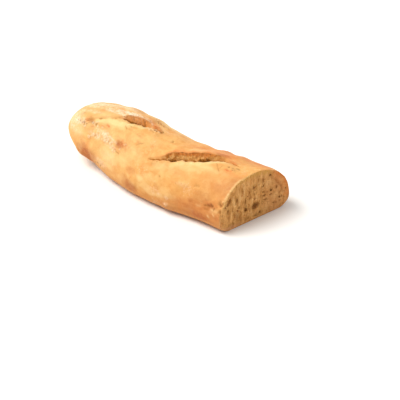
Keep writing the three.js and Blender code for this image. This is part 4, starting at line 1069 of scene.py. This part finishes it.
# ===================================================================== object
mesh, cut_outline = build_loaf()
mesh.materials.append(crust_material())
mesh.materials.append(crumb_material())
set_attribute(mesh, "pore_shade", np.zeros(len(mesh.vertices)))
loaf = bpy.data.objects.new("baguette_loaf", mesh)
bpy.context.scene.collection.objects.link(loaf)
cut_pores(loaf, cut_outline)
mesh = loaf.data
mesh.name = "baguette_loaf"
mesh.polygons.foreach_set("use_smooth", [True] * len(mesh.polygons))
mesh.set_sharp_from_angle(angle=math.radians(50))
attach(loaf, "root")
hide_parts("loaf")


# ================================================================ floor, light
def plane_mesh(name, half, z=0.0):
    return make_mesh(name, [(-half, -half, z), (half, -half, z), (half, half, z), (-half, half, z)], [(0, 1, 2, 3)])


floor = bpy.data.objects.new("floor", plane_mesh("floor", 40.0, -0.0002))
bpy.context.scene.collection.objects.link(floor)
paper = Graph("pale_floor")
g_tone = paper.noise(900, 2, 0.5)
paper.link(paper.mix(g_tone, (0.90, 0.90, 0.89, 1), (0.92, 0.92, 0.915, 1)), paper.bsdf.inputs["Base Color"])
paper.bsdf.inputs["Roughness"].default_value = 0.95
paper.bsdf.inputs["Specular IOR Level"].default_value = 0.1
floor.data.materials.append(paper.material)

scene = bpy.context.scene
scene.view_settings.view_transform = "Standard"
scene.view_settings.look = "None"
scene.view_settings.exposure = 0.0
scene.view_settings.gamma = 1.0

sky = bpy.data.worlds.new("studio")
scene.world = sky
sky.use_nodes = True
sky_shader = sky.node_tree.nodes["Background"]
sky_shader.inputs["Color"].default_value = (1.0, 0.985, 0.96, 1)
sky_place = sky.node_tree.nodes.new("ShaderNodeTexCoord")
sky_split = sky.node_tree.nodes.new("ShaderNodeSeparateXYZ")
sky_glow = sky.node_tree.nodes.new("ShaderNodeMapRange")
sky_glow.interpolation_type = "SMOOTHSTEP"
for socket, value in (("From Min", 0.03), ("From Max", 0.22), ("To Min", 1.0), ("To Max", SKY_LIGHT)):
    sky_glow.inputs[socket].default_value = value
sky.node_tree.links.new(sky_place.outputs["Generated"], sky_split.inputs[0])
sky.node_tree.links.new(sky_split.outputs["Z"], sky_glow.inputs["Value"])
sky.node_tree.links.new(sky_glow.outputs["Result"], sky_shader.inputs["Strength"])


def sun(name, towards, strength, spread, colour):
    data = bpy.data.lights.new(name, "SUN")
    data.energy, data.angle, data.color = strength, math.radians(spread), colour
    ob = bpy.data.objects.new(name, data)
    ob.rotation_euler = Vector(towards).to_track_quat("Z", "Y").to_euler()
    scene.collection.objects.link(ob)
    return ob


sun("key", KEY_FROM, KEY_LIGHT, 40, (1.0, 0.985, 0.955))
sun("fill", FILL_FROM, FILL_LIGHT, 70, (1.0, 0.98, 0.94))

AZIMUTH, ELEVATION, DISTANCE = math.radians(39.6), math.radians(33.8), 1.6
TARGET = Vector((0.042458, -0.004858, 0.0))
back = Vector((math.sin(AZIMUTH) * math.cos(ELEVATION), -math.cos(AZIMUTH) * math.cos(ELEVATION), math.sin(ELEVATION)))
lens = bpy.data.cameras.new("camera")
lens.sensor_width, lens.lens = 36.0, 160.0
lens.clip_start, lens.clip_end = 0.05, 50.0
camera = bpy.data.objects.new("camera", lens)
camera.location = TARGET + back * DISTANCE
camera.rotation_euler = back.to_track_quat("Z", "Y").to_euler()
scene.collection.objects.link(camera)
scene.camera = camera
